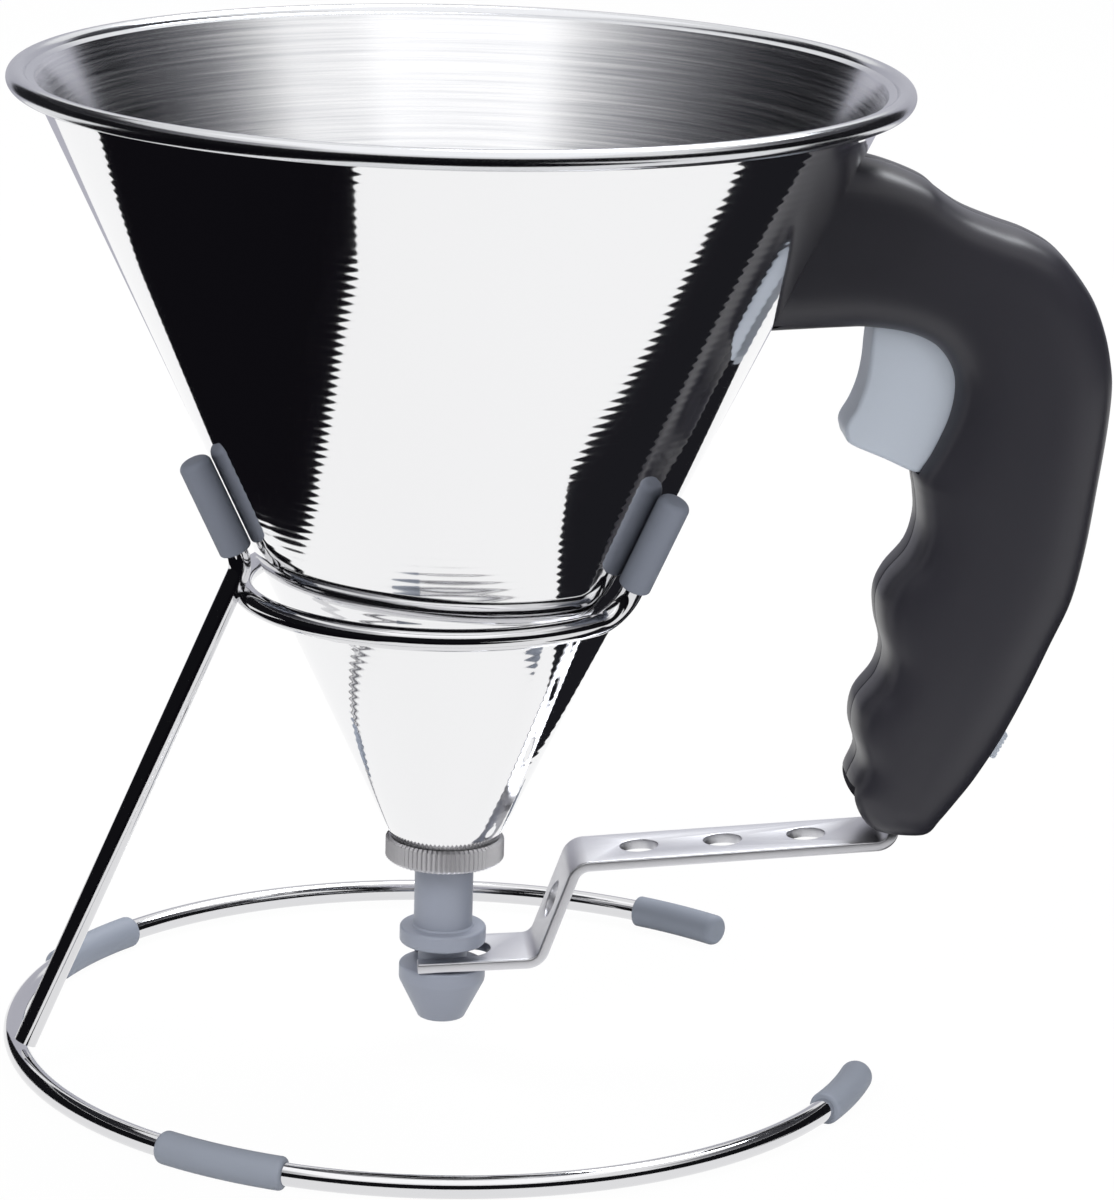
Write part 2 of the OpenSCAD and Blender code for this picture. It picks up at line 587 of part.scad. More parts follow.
// Trigger with two slotted prongs behind its pin
trigger_outline = [for (s = trigger_shares) pivot + s * trigger_l];
module trigger() color(light_plastic) at_axis() {
    tip = link_pin_at - pivot;
    arm = norm(tip);
    difference() {
        union() {
            upright(trigger_w) polygon(trigger_outline);
            across(pivot, boss_r, -trigger_w / 2, trigger_w / 2);
            for (s = [-1, 1]) translate([pivot.x, s * (prong_gap + prong_out) / 2, pivot.y])
                rotate([0, trigger_swing / 2, 0]) rotate([90, 0, 0]) translate([0, 0, -(prong_out - prong_gap) / 2])
                    linear_extrude(prong_out - prong_gap) {
                        translate([0, -eye_r]) square([arm, 2 * eye_r]);
                        translate([arm, 0]) circle(eye_r);
                    }
        }
        across(pivot, pin_r + run_gap, -trigger_w, trigger_w);
        translate([pivot.x, 0, pivot.y]) rotate([0, trigger_swing / 2, 0]) translate([arm, 0, 0]) {
            for (e = [0, 1]) translate([-e * slot_play, -trigger_w, 0]) rotate([-90, 0, 0])
                cylinder(r = pin_r + run_gap, h = 2 * trigger_w);
            translate([-slot_play, -trigger_w, -pin_r - run_gap])
                cube([slot_play, 2 * trigger_w, 2 * (pin_r + run_gap)]);
        }
        translate([pivot.x + boss_r, -prong_gap, pivot.y - boss_r - eye_r])
            cube([arm, 2 * prong_gap, 3 * boss_r]);
    }
}
module trigger_pin() color(steel) at_axis()
    across(pivot, pin_r, -cave_hw - shell_t / 2, cave_hw + shell_t / 2);

// Steel bracket on the cone, inside the handle's nose
module bracket_space(grow) {
    translate([0, 0, cone_z]) rotate_extrude($fn = 128)
        polygon([[outlet_r + grow, 0], [mouth_r + grow, cone_h], [0, cone_h], [0, 0]]);
}
module handle_bracket() color(brushed) at_axis() difference() {
    intersection() {
        upright(2 * (ear_in + bracket_t)) polygon([for (s = ear_shares) in_handle(s)]);
        union() {
            for (s = [-1, 1]) translate([0, s * (ear_in + bracket_t / 2) - bracket_t / 2, 0])
                cube([reach_x, bracket_t, rim_z]);
            translate([0, -ear_in - bracket_t, 0]) bracket_space(fit_gap + bracket_t / cos(cone_lean));
        }
    }
    bracket_space(fit_gap);
    for (s = bracket_screw_shares) across(in_handle(s), screw_clear_r, -handle_w, handle_w);
}

// Screws, driven from the far side
module handle_screw(p) {
    top = handle_w / 2 - screw_sink;
    across(p, screw_head_r, top - screw_head_h, top);
    across(p, screw_r, -cave_hw + over, top - screw_head_h);
}
module bracket_screws() color(steel) at_axis() for (s = bracket_screw_shares) handle_screw(in_handle(s));
module handle_screws() color(steel) at_axis() for (s = handle_screw_shares) handle_screw(in_handle(s));

// Handle shells: rounded skin, cave, posts, and openings
cave_outline = [for (i = [0:len(handle_outline) - 1])
    let (n = len(handle_outline), d = unit(handle_outline[(i + 1) % n] - handle_outline[(i + n - 1) % n]))
    handle_outline[i] + [-d.y, d.x] * shell_t];
// Each step is a share of the half width and how far the outline has shrunk there; the ends are cut off
skin_steps = [[-0.1, 0], [0, 0], [0.4, 0.02], [0.65, 0.1], [0.82, 0.26], [0.94, 0.56], [1, 1], [1.1, 1]];
module shell_skin() {
    n = len(handle_outline);
    own = [for (p = handle_outline) nearest(handle_spine, p)];
    points = [for (s = skin_steps, i = [0:n - 1])
        let (q = handle_outline[i] + (own[i] - handle_outline[i]) * edge_round * s.y) [q.x, -s.x * handle_w / 2, q.y]];
    walls = [for (k = [0:len(skin_steps) - 2], i = [0:n - 1])
        let (a = k * n + i, b = k * n + (i + 1) % n) each [[a, a + n, b], [b, a + n, b + n]]];
    intersection() {
        polyhedron(points = points, faces = concat(walls, [[for (i = [0:n - 1]) i],
            [for (i = [n - 1:-1:0]) (len(skin_steps) - 1) * n + i]]), convexity = 10);
        translate([0, -handle_w / 2, 0]) cube([2 * reach_x, handle_w / 2, 2 * rim_z]);
    }
}
module post(p, r, inner) { across(p, r, -cave_hw - shell_t / 2, -inner); }
module cursor_frame() {
    p = in_handle(cursor_share);
    translate([p.x, 0, p.y]) rotate([0, 90 - acos(cursor_dir.x / norm(cursor_dir)) , 0]) children();
}
module shell(screw_bore) {
    difference() {
        union() {
            difference() {
                shell_skin();
                translate([0, cave_hw / 2, 0]) upright(3 * cave_hw) polygon(cave_outline);
            }
            for (s = handle_screw_shares) post(in_handle(s), post_r, 0);
            for (s = bracket_screw_shares) post(in_handle(s), post_r, ear_in + bracket_t + fit_gap);
            post(pivot, post_r, trigger_w / 2 + free_gap);
        }
        bracket_space(fit_gap);
        upright(2 * (ear_in + bracket_t + fit_gap)) polygon([for (s = nose_cut_shares) in_handle(s)]);
        translate([pivot.x + trigger_mouth_shares[0] * trigger_l, -trigger_w / 2 - free_gap,
            pivot.y - trigger_l - free_gap])
            cube([(trigger_mouth_shares[1] - trigger_mouth_shares[0]) * trigger_l, trigger_w,
                trigger_l + boss_r + free_gap]);
        translate([foot_x - foot_cut_front, -strip_w / 2 - free_gap, handle_z - over])
            cube([bar_x - foot_x + foot_cut_front, strip_w, foot_cut_top - handle_z + over]);
        across(pivot, pin_r, -cave_hw - shell_t / 2 - snug, over);
        for (s = concat(handle_screw_shares, bracket_screw_shares))
            across(in_handle(s), screw_bore, -cave_hw - over, over);
        children();
    }
}
module cursor_slot() {
    cursor_frame() translate([-cave_hw, -cursor_w / 2 - run_gap, -cursor_l / 2 - free_gap])
        cube([2 * cave_hw, cursor_w + 2 * run_gap, cursor_l + cursor_travel + 2 * free_gap]);
}
module handle_left() color(anthracite) at_axis() shell(screw_r) cursor_slot();
module handle_right() color(anthracite) at_axis() mirror([0, 1, 0]) shell(screw_clear_r) {
    cursor_slot();
    for (s = concat(handle_screw_shares, bracket_screw_shares))
        across(in_handle(s), screw_head_r + 2 * run_gap, -handle_w, -handle_w / 2 + screw_sink + screw_head_h);
}

// Small slider on the handle's back that sets how far the piston may lift
module flow_cursor() color(light_plastic) at_axis() cursor_frame() {
    translate([-shell_t - cursor_wall_gap, -cursor_w / 2, -cursor_l / 2])
        cube([shell_t + cursor_wall_gap + cursor_h, cursor_w, cursor_l]);
    translate([-shell_t - cursor_wall_gap - cursor_flange_t, -cursor_flange_w / 2, -cursor_l / 2 - cursor_flange_t])
        cube([cursor_flange_t, cursor_flange_w, cursor_l + 2 * cursor_flange_t]);
}

base_ring();
support_leg();
cradle_ring();
base_sleeves();
end_caps();
cradle_sleeves();
cone();
spout();
seal_sleeve();
collar_nut();
seat_seal();
piston();
piston_o_ring();
lever();
pull_bar();
bar_rivets();
link_pin();
spring_washer();
return_spring();
lower_guide();
upper_guide();
trigger();
trigger_pin();
handle_bracket();
bracket_screws();
handle_left();
handle_right();
handle_screws();
flow_cursor();
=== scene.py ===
"""Piston funnel on its wire stand: polished cone, moulded grip, bent strip lever, plated wire."""
from math import atan, atan2, cos, degrees, hypot, pi, radians, sin, sqrt, tan

import bpy
from mathutils import Matrix, Vector


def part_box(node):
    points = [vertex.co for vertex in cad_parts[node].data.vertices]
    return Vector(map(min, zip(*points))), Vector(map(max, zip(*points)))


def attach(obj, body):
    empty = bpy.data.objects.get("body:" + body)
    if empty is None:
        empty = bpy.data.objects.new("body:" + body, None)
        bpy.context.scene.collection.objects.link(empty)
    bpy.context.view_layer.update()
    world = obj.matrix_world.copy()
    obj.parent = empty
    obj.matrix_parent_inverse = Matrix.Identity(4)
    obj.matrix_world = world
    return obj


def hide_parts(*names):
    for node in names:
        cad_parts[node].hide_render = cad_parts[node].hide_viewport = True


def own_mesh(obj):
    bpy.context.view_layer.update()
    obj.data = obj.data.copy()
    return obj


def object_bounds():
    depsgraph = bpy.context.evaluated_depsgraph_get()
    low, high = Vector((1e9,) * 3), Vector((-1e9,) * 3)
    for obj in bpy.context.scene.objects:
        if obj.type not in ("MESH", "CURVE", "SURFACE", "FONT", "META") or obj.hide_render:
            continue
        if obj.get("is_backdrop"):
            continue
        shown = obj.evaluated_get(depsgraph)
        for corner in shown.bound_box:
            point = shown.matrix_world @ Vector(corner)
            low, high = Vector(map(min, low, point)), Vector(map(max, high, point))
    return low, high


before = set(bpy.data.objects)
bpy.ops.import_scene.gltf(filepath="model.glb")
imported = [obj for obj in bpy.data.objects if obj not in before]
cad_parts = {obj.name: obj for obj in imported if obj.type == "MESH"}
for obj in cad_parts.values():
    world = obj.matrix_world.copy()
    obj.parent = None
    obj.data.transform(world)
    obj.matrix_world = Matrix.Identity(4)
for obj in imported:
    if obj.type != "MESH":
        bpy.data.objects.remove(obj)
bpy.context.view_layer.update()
MM = 0.001

# Sizes in millimetres about the funnel's axis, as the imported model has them
cone_low, cone_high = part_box("cone")
AXIS_X = (cone_low.x + cone_high.x) / 2 / MM
CONE_Z, RIM_Z = 37.8, 168.2
OUTLET_R, MOUTH_R = 9.4, 71.2
CONE_SLOPE = (MOUTH_R - OUTLET_R) / (RIM_Z - CONE_Z)
CONE_LEAN = atan(CONE_SLOPE)
WALL_X = 0.9 / cos(CONE_LEAN)
BEAD_R, BEAD_X = 1.7, 73.2
STAND_TURN = radians(12)
WIRE_R, SLEEVE_R = 1.9, 2.8
BASE_R, BASE_Z = 73.6, 2.6
MOUTH_HALF, BASE_SLEEVE_AT = 33, 46
BASE_SLEEVE_L, CAP_L = 23, 18
CRADLE_Z, CRADLE_SHIFT = 82.0, 1.5
STRIP_T, STRIP_W = 1.8, 14.6
HANDLE_W = 22.8
HANDLE_X, HANDLE_Z, HANDLE_D, HANDLE_H = 50.596, 39.6, 60.0, 118.0


def cone_x(z):
    return OUTLET_R + (z - CONE_Z) * CONE_SLOPE


def place(x, y, z):
    """A point in millimetres about the funnel's axis, in the row frame."""
    return Vector(((x + AXIS_X) * MM, y * MM, z * MM))


def stand_place(x, y, z):
    """The same for the stand, which is turned a little under the funnel."""
    c, s = cos(STAND_TURN), sin(STAND_TURN)
    return place(c * x - s * y, s * x + c * y, z)


def stand_way(v):
    """A direction of the stand."""
    return stand_place(*v) - stand_place(0, 0, 0)


def on_base_ring(at):
    """A point of the base ring's middle line, at an angle in degrees."""
    return stand_place(BASE_R * cos(radians(at)), BASE_R * sin(radians(at)), BASE_Z)


# Materials. A wave texture of scale 1 has a band every 0.314159 m, and NEAR_RIM is a radius in millimetres
WAVE_UNIT, NEAR_RIM = 0.314159, 70.0


def linear(code):
    """sRGB hex to linear RGBA."""
    parts = [int(code[i:i + 2], 16) / 255 for i in (1, 3, 5)]
    return [p / 12.92 if p <= 0.04045 else ((p + 0.055) / 1.055) ** 2.4 for p in parts] + [1.0]


def add(material, kind, settings=None, links=None):
    """Adds one node with its settings and its input links, given as socket: (node, output)."""
    tree = material.node_tree
    made = tree.nodes.new(kind)
    for key, value in (settings or {}).items():
        if isinstance(key, int) or key in made.inputs:
            made.inputs[key].default_value = value
        else:
            setattr(made, key, value)
    for key, (source, output) in (links or {}).items():
        tree.links.new(source.outputs[output], made.inputs[key])
    return made


def new_material(name, **shader):
    material = bpy.data.materials.new(name)
    material.use_nodes = True
    body = material.node_tree.nodes["Principled BSDF"]
    for key, value in shader.items():
        body.inputs[key.replace("_", " ")].default_value = value
    return material, body


def object_point(material, location=(0, 0, 0), scale=(1, 1, 1)):
    coordinates = add(material, "ShaderNodeTexCoord")
    return add(material, "ShaderNodeMapping", {"Location": location, "Scale": scale},
               {"Vector": (coordinates, "Object")})


def feed(shader, socket, source, output=0):
    """Links a node's output to a socket of the shader."""
    shader.id_data.links.new(source.outputs[output], shader.inputs[socket])


def surface(material, body, marks, low, high, relief=None, strength=0.0, depth=0.0):
    """Marks move the roughness between low and high, and a relief of some depth tilts the surface."""
    feed(body, "Roughness", add(material, "ShaderNodeMapRange", {"To Min": low, "To Max": high},
                                {"Value": (marks, 0)}))
    if relief:
        feed(body, "Normal", add(material, "ShaderNodeBump", {"Strength": strength, "Distance": depth},
                                 {"Height": (relief, 0)}))


def ring_pattern(material, pitch_mm, length_mm=12.0, roughen=0.5):
    """Marks round the funnel's axis: noise drawn out along the circle, length_mm long near the rim."""
    about = object_point(material, (-AXIS_X * MM, 0, 0))
    parts = add(material, "ShaderNodeSeparateXYZ", links={"Vector": (about, 0)})
    flat = add(material, "ShaderNodeCombineXYZ", links={"X": (parts, "X"), "Y": (parts, "Y")})
    way = add(material, "ShaderNodeVectorMath", {"operation": "NORMALIZE"}, {0: (flat, 0)})
    along = add(material, "ShaderNodeVectorMath", {"operation": "SCALE", "Scale": NEAR_RIM / length_mm},
                {0: (way, 0)})
    height = add(material, "ShaderNodeMath", {"operation": "MULTIPLY", 1: 1 / (pitch_mm * MM)},
                 {0: (parts, "Z")})
    rise = add(material, "ShaderNodeCombineXYZ", links={"Z": (height, 0)})
    both = add(material, "ShaderNodeVectorMath", {"operation": "ADD"}, {0: (along, 0), 1: (rise, 0)})
    return add(material, "ShaderNodeTexNoise", {"Scale": 1.0, "Detail": 2.0, "Roughness": roughen},
               {"Vector": (both, 0)})


def spun_rings(material, pitch_mm):
    """Regular rings round the axis with a slow change in their height."""
    coordinates = add(material, "ShaderNodeTexCoord")
    parts = add(material, "ShaderNodeSeparateXYZ", links={"Vector": (coordinates, "Object")})
    up = add(material, "ShaderNodeCombineXYZ", links={"Z": (parts, "Z")})
    wave = add(material, "ShaderNodeTexWave",
               {"bands_direction": "Z", "Scale": WAVE_UNIT / (pitch_mm * MM), "Distortion": 1.2,
                "Detail": 2.0, "Detail Scale": 0.6}, {"Vector": (up, 0)})
    swell = add(material, "ShaderNodeTexNoise", {"Scale": 160.0, "Detail": 1.0}, {"Vector": (up, 0)})
    swing = add(material, "ShaderNodeMapRange",
                {"From Min": 0.35, "From Max": 0.65, "To Min": 0.4, "To Max": 1.0}, {"Value": (swell, 0)})
    return add(material, "ShaderNodeMath", {"operation": "MULTIPLY"}, {0: (wave, "Fac"), 1: (swing, 0)})


def polished_steel():
    """Stainless steel, spun and polished: a mirror with faint rings round it from the lathe."""
    material, body = new_material("polished_stainless_steel", Base_Color=linear("#f1f1f2"), Metallic=1.0,
                                  Roughness=0.05)
    # Rings 1.5 mm apart and 8.5 micrometres high, as the forming roller left them
    feed(body, "Normal", add(material, "ShaderNodeBump", {"Strength": 1.0, "Distance": 0.0000085},
                             {"Height": (spun_rings(material, 1.5), 0)}))
    return material


def brushed_inside():
    """Stainless steel, brushed round with a fine belt: streaks run round it and spread the light."""
    material, body = new_material("brushed_stainless_steel_inside", Metallic=1.0)
    # Belt scratches about 0.5 mm apart and 50 mm long, each a little lighter or darker than the next
    rings = ring_pattern(material, 0.5, 50.0, 0.65)
    strong = add(material, "ShaderNodeMapRange", {"From Min": 0.3, "From Max": 0.7}, {"Value": (rings, 0)})
    tone = add(material, "ShaderNodeMix", {"data_type": "RGBA", 6: linear("#dfe0e3"), 7: linear("#fbfbfc")},
               {0: (strong, 0)})
    feed(body, "Base Color", tone, 2)
    surface(material, body, strong, 0.16, 0.26, rings, 0.5, 0.000007)
    return material


def rolled_rim():
    """The rolled rim, only lightly polished after rolling: a soft gleam instead of a sharp mirror."""
    # Its base colour, darker than the cone's, is painted shade for the grey the bead mirrors; the higher
    # roughness is its real finish
    material, body = new_material("rolled_rim_steel", Base_Color=linear("#d6d7da"), Metallic=1.0)
    surface(material, body, ring_pattern(material, 0.4, 30.0), 0.12, 0.22)
    return material


def plated_wire():
    """Round steel wire, drawn and chrome plated: a bright mirror with hardly a mark."""
    material, body = new_material("chrome_plated_wire", Base_Color=linear("#dcdcde"), Metallic=1.0)
    mottle = add(material, "ShaderNodeTexNoise", {"Scale": 400.0, "Detail": 2.0},
                 {"Vector": (object_point(material), 0)})
    surface(material, body, mottle, 0.04, 0.11)
    return material


def brushed_strip():
    """Cold-rolled stainless strip, tumbled after bending: a soft satin with fine scratches along it."""
    material, body = new_material("tumbled_stainless_strip", Base_Color=linear("#d6d6da"), Metallic=1.0)
    # Scratches about 0.2 mm wide and 6 mm long
    scratches = add(material, "ShaderNodeTexNoise", {"Scale": 1.0, "Detail": 3.0, "Roughness": 0.6},
                    {"Vector": (object_point(material, scale=(160, 5000, 900)), 0)})
    surface(material, body, scratches, 0.32, 0.44, scratches, 0.12, 0.00005)
    return material


def turned_steel(name, code, roughness):
    """Free-cutting steel, turned and knurled: duller than the polished cone, with tool marks."""
    material, body = new_material(name, Base_Color=linear(code), Metallic=1.0)
    surface(material, body, ring_pattern(material, 0.25), roughness - 0.08, roughness + 0.12)
    return material


def moulded_plastic(name, code, roughness, grain_mm, strength):
    """Injection-moulded plastic: one colour through, with the fine spark texture of its mould."""
    material, body = new_material(name, Base_Color=linear(code), IOR=1.5)
    point = object_point(material)
    grain = add(material, "ShaderNodeTexNoise",
                {"Scale": 1 / (grain_mm * MM), "Detail": 3.0, "Roughness": 0.6}, {"Vector": (point, 0)})
    drift = add(material, "ShaderNodeTexNoise", {"Scale": 60.0, "Detail": 2.0}, {"Vector": (point, 0)})
    surface(material, body, drift, roughness - 0.05, roughness + 0.05, grain, strength, 0.0001)
    return material


MIRROR = polished_steel()
INSIDE = brushed_inside()
RIM = rolled_rim()
WIRE = plated_wire()
STRIP = brushed_strip()
KNURLED = turned_steel("knurled_turned_steel", "#d3d2d5", 0.42)
PLAIN_STEEL = turned_steel("plain_zinc_plated_steel", "#a9aaad", 0.32)
GRIP = moulded_plastic("grained_anthracite_nylon", "#26252c", 0.38, 0.35, 0.1)
SLEEVE = moulded_plastic("blue_grey_silicone_rubber", "#868c98", 0.62, 0.3, 0.08)
# The prong sleeves are the same rubber as the base sleeves, painted darker: painted shade for the shadow
# they stand in
PRONG_SLEEVE_PAINTED_SHADE = moulded_plastic("blue_grey_silicone_rubber_painted_shade", "#6c717d", 0.62, 0.3, 0.08)
PISTON = moulded_plastic("blue_grey_acetal", "#8b909d", 0.42, 0.4, 0.05)
LIGHT = moulded_plastic("light_blue_grey_abs", "#aeb5c0", 0.42, 0.4, 0.06)
SEAL_WHITE = moulded_plastic("white_acetal_guide", "#d9d8d2", 0.4, 0.4, 0.05)
SEAL_BLACK = moulded_plastic("black_seal_rubber", "#1b1b1c", 0.6, 0.3, 0.05)


# Modelling helpers. POLE_R is the ring that stands for a pole, and MERGE_MM closes it
POLE_R, MERGE_MM = 0.001, 0.004


def select_none():
    if bpy.context.mode != "OBJECT":
        bpy.ops.object.mode_set(mode="OBJECT")
    bpy.ops.object.select_all(action="DESELECT")


def pick(*pieces):
    """Selects these pieces alone and makes the first one active."""
    select_none()
    for piece in pieces:
        piece.select_set(True)
    bpy.context.view_layer.objects.active = pieces[0]


def finish_piece(piece, name, material, body, node, angle=40):
    """Names a piece, applies its place, gives it its material, smooth faces and its body."""
    pick(piece)
    bpy.ops.object.transform_apply()
    piece.name = name
    piece.data.name = name
    if material and not piece.data.materials:
        piece.data.materials.append(material)
    bpy.ops.object.shade_smooth_by_angle(angle=radians(angle))
    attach(piece, body)
    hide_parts(node)


def start_edit():
    """Opens the active piece in edit mode with everything selected."""
    bpy.ops.object.mode_set(mode="EDIT")
    bpy.ops.mesh.select_mode(type="VERT")
    bpy.ops.mesh.select_all(action="SELECT")


def end_edit():
    """Turns all faces outwards and goes back to object mode."""
    bpy.ops.mesh.select_all(action="SELECT")
    bpy.ops.mesh.normals_make_consistent(inside=False)
    bpy.ops.object.mode_set(mode="OBJECT")


def lathe(profile, steps):
    """Shapes a ring by extruding and scaling it through (radius, height) in millimetres."""
    select_none()
    first = max(profile[0][0], POLE_R)
    bpy.ops.mesh.primitive_circle_add(vertices=steps, radius=first * MM, location=place(0, 0, profile[0][1]))
    piece = bpy.context.object
    start_edit()
    here = first
    for (r, z), (_, z_before) in zip(profile[1:], profile[:-1]):
        r = max(r, POLE_R)
        bpy.ops.mesh.extrude_region_move(TRANSFORM_OT_translate={"value": (0, 0, (z - z_before) * MM)})
        if abs(r - here) > 1e-9:
            bpy.ops.transform.resize(value=(r / here, r / here, 1), center_override=place(0, 0, z))
        here = r
    bpy.ops.mesh.select_all(action="SELECT")
    bpy.ops.mesh.remove_doubles(threshold=MERGE_MM * MM)
    end_edit()
    bpy.ops.object.transform_apply()
    return piece


def draw_wire(start, heading, radius, moves, sides=32):
    """Draws a round wire: a circle pushed along straights and spun round bends."""
    select_none()
    heading = Vector(heading).normalized()
    turn = heading.to_track_quat("Z", "Y").to_euler()
    bpy.ops.mesh.primitive_circle_add(vertices=sides, radius=radius * MM, fill_type="NGON", location=start,
                                      rotation=turn)
    piece = bpy.context.object
    bpy.ops.object.transform_apply()
    start_edit()
    for kind, *how in moves:
        if kind == "straight":
            way, length = how
            step = tuple(Vector(way).normalized() * length)
            bpy.ops.mesh.extrude_region_move(TRANSFORM_OT_translate={"value": step})
        else:
            centre, axis, angle, steps = how
            bpy.ops.mesh.spin(steps=steps, angle=angle, center=centre, axis=axis)
    end_edit()
    return piece


def from_points(name, points, faces):
    mesh = bpy.data.meshes.new(name)
    mesh.from_pydata([tuple(p) for p in points], [], faces)
    mesh.update()
    piece = bpy.data.objects.new(name, mesh)
    bpy.context.scene.collection.objects.link(piece)
    pick(piece)
    return piece


def use_modifier(piece, kind, **settings):
    pick(piece)
    made = piece.modifiers.new(kind.lower(), kind)
    for key, value in settings.items():
        setattr(made, key, value)
    bpy.ops.object.modifier_apply(modifier=made.name)


def arc(cx, cz, r, a0, a1, n):
    """Points of a rounded corner of a profile, angles in degrees."""
    return [(cx + r * cos(radians(a0 + (a1 - a0) * i / n)),
             cz + r * sin(radians(a0 + (a1 - a0) * i / n))) for i in range(n + 1)]


# The funnel: one spun sheet, polished outside, brushed inside, its rim rolled outwards
def make_cone():
    outer = [(OUTLET_R - WALL_X, CONE_Z), (OUTLET_R - 0.05, CONE_Z), (OUTLET_R, CONE_Z + 0.05)]
    tops = 40
    for i in range(1, tops + 1):
        z = CONE_Z + 0.05 + (RIM_Z - 1.75 - CONE_Z - 0.05) * i / tops
        outer.append((cone_x(z), z))
    bead = arc(BEAD_X, RIM_Z, BEAD_R, 222, 520, 24)
    inner = []
    top_z = RIM_Z + 0.2
    for i in range(tops + 1):
        z = top_z + (CONE_Z - top_z) * i / tops
        inner.append((cone_x(z) - WALL_X, z))
    return lathe(outer + bead + inner, 256)


cone = make_cone()
for material in (MIRROR, INSIDE, RIM):
    cone.data.materials.append(material)
for face in cone.data.polygons:
    c = face.center
    r = hypot(c.x / MM - AXIS_X, c.y / MM)
    z = c.z / MM
    outward = face.normal.x * (c.x - AXIS_X * MM) + face.normal.y * c.y
    if outward < 0 and z < RIM_Z - 0.4 and r < MOUTH_R:
        face.material_index = 1
    elif z > RIM_Z - 1.8 and r > MOUTH_R - 1:
        face.material_index = 2
finish_piece(cone, "spun_cone", None, "funnel", "cone")


# Stand wires
def base_arc(at, half, radius, steps, sides=32):
    """Wire or tube along the base ring, half to each side of the place at, in degrees."""
    a0 = radians(at - half)
    return draw_wire(on_base_ring(at - half), stand_way((-sin(a0), cos(a0), 0)), radius,
                     [("bend", stand_place(0, 0, BASE_Z), (0, 0, 1), -2 * radians(half), steps)], sides)


finish_piece(base_arc(180, 180 - MOUTH_HALF, WIRE_R, 160), "base_ring_wire", WIRE, "stand",
             "base_ring")


# Helpers for moulded shapes
def smooth_line(points, parts=5, closed=True, keep=()):
    """A smooth line through points, with the kept corners left sharp."""
    n = len(points)
    line = []
    for i in range(n if closed else n - 1):
        before, a = points[(i - 1) % n], points[i]
        b, after = points[(i + 1) % n], points[(i + 2) % n]
        if i in keep or (not closed and i == 0):
            before = a
        if (i + 1) % n in keep or (not closed and i == n - 2):
            after = b
        for k in range(parts):
            t = k / parts
            line.append(tuple(0.5 * (2 * a[c] + (b[c] - before[c]) * t
                                     + (2 * before[c] - 5 * a[c] + 4 * b[c] - after[c]) * t * t
                                     + (3 * a[c] - before[c] - 3 * b[c] + after[c]) * t ** 3)
                              for c in (0, 1)))
    if not closed:
        line.append(tuple(points[-1]))
    return line


def nearest(line, p):
    best, place_on = 1e9, None
    for (ax, az), (bx, bz) in zip(line[:-1], line[1:]):
        dx, dz = bx - ax, bz - az
        t = max(0, min(1, ((p[0] - ax) * dx + (p[1] - az) * dz) / (dx * dx + dz * dz)))
        q = (ax + dx * t, az + dz * t)
        d = hypot(q[0] - p[0], q[1] - p[1])
        if d < best:
            best, place_on = d, q
    return place_on


def loft(name, rings):
    """Joins rings of points, each the same length, with faces, and fills both ends."""
    n = len(rings[0])
    points = [p for ring in rings for p in ring]
    faces = []
    for k in range(len(rings) - 1):
        for i in range(n):
            j = (i + 1) % n
            faces.append((k * n + i, k * n + j, (k + 1) * n + j, (k + 1) * n + i))
    faces.append(tuple(range(n - 1, -1, -1)))
    faces.append(tuple((len(rings) - 1) * n + i for i in range(n)))
    piece = from_points(name, points, faces)
    start_edit()
    end_edit()
    return piece


def prism(name, outline, y0, y1):
    return loft(name, [[place(x, y, z) for x, z in outline] for y in (y0, y1)])


def rod(name, x, z, radius, y0, y1, steps=48):
    return prism(name, arc(x, z, radius, 0, 360, steps)[:-1], y0, y1)


def box(name, x0, x1, y0, y1, z0, z1):
    return prism(name, [(x0, z0), (x1, z0), (x1, z1), (x0, z1)], y0, y1)


def carve(piece, tools, operation="DIFFERENCE"):
    for tool in tools:
        use_modifier(piece, "BOOLEAN", operation=operation, object=tool, solver="EXACT")
    for tool in tools:
        drop(tool)


def drop(piece):
    mesh = piece.data
    bpy.data.objects.remove(piece)
    bpy.data.meshes.remove(mesh)


def move_mesh(piece, turn, to):
    """Turns a mesh modelled about the foot of the funnel's axis and puts it at a place."""
    for step in (Matrix.Translation(-place(0, 0, 0)), turn, Matrix.Translation(to)):
        piece.data.transform(step)
    piece.data.update()


def lay_along(piece, start, end):
    """Turns a piece modelled up the funnel's axis so that it runs from start towards end."""
    way = (Vector(end) - Vector(start)).normalized()
    move_mesh(piece, way.to_track_quat("Z", "Y").to_matrix().to_4x4(), start)


def round_edges(piece, chosen, width, segments=3):
    """Rounds the edges for which chosen(first, second, faces) holds."""
    pick(piece)
    mesh = piece.data
    by_edge = {}
    for face in mesh.polygons:
        for key in face.edge_keys:
            by_edge.setdefault(key, []).append(face.normal.copy())
    picks = []
    for edge in mesh.edges:
        a, b = (mesh.vertices[i].co for i in edge.vertices)
        sides = by_edge.get(tuple(sorted(edge.vertices)), [])
        picks.append(len(sides) == 2 and chosen(a, b, sides))
    bpy.ops.object.mode_set(mode="EDIT")
    bpy.ops.mesh.select_mode(type="EDGE")
    bpy.ops.mesh.select_all(action="DESELECT")
    bpy.ops.object.mode_set(mode="OBJECT")
    for edge, picked in zip(mesh.edges, picks):
        edge.select = picked
    bpy.ops.object.mode_set(mode="EDIT")
    bpy.ops.mesh.bevel(offset=width * MM, segments=segments, affect="EDGES", clamp_overlap=True)
    bpy.ops.object.mode_set(mode="OBJECT")


def sharp(sides, limit=40):
    return sides[0].angle(sides[1]) > radians(limit)


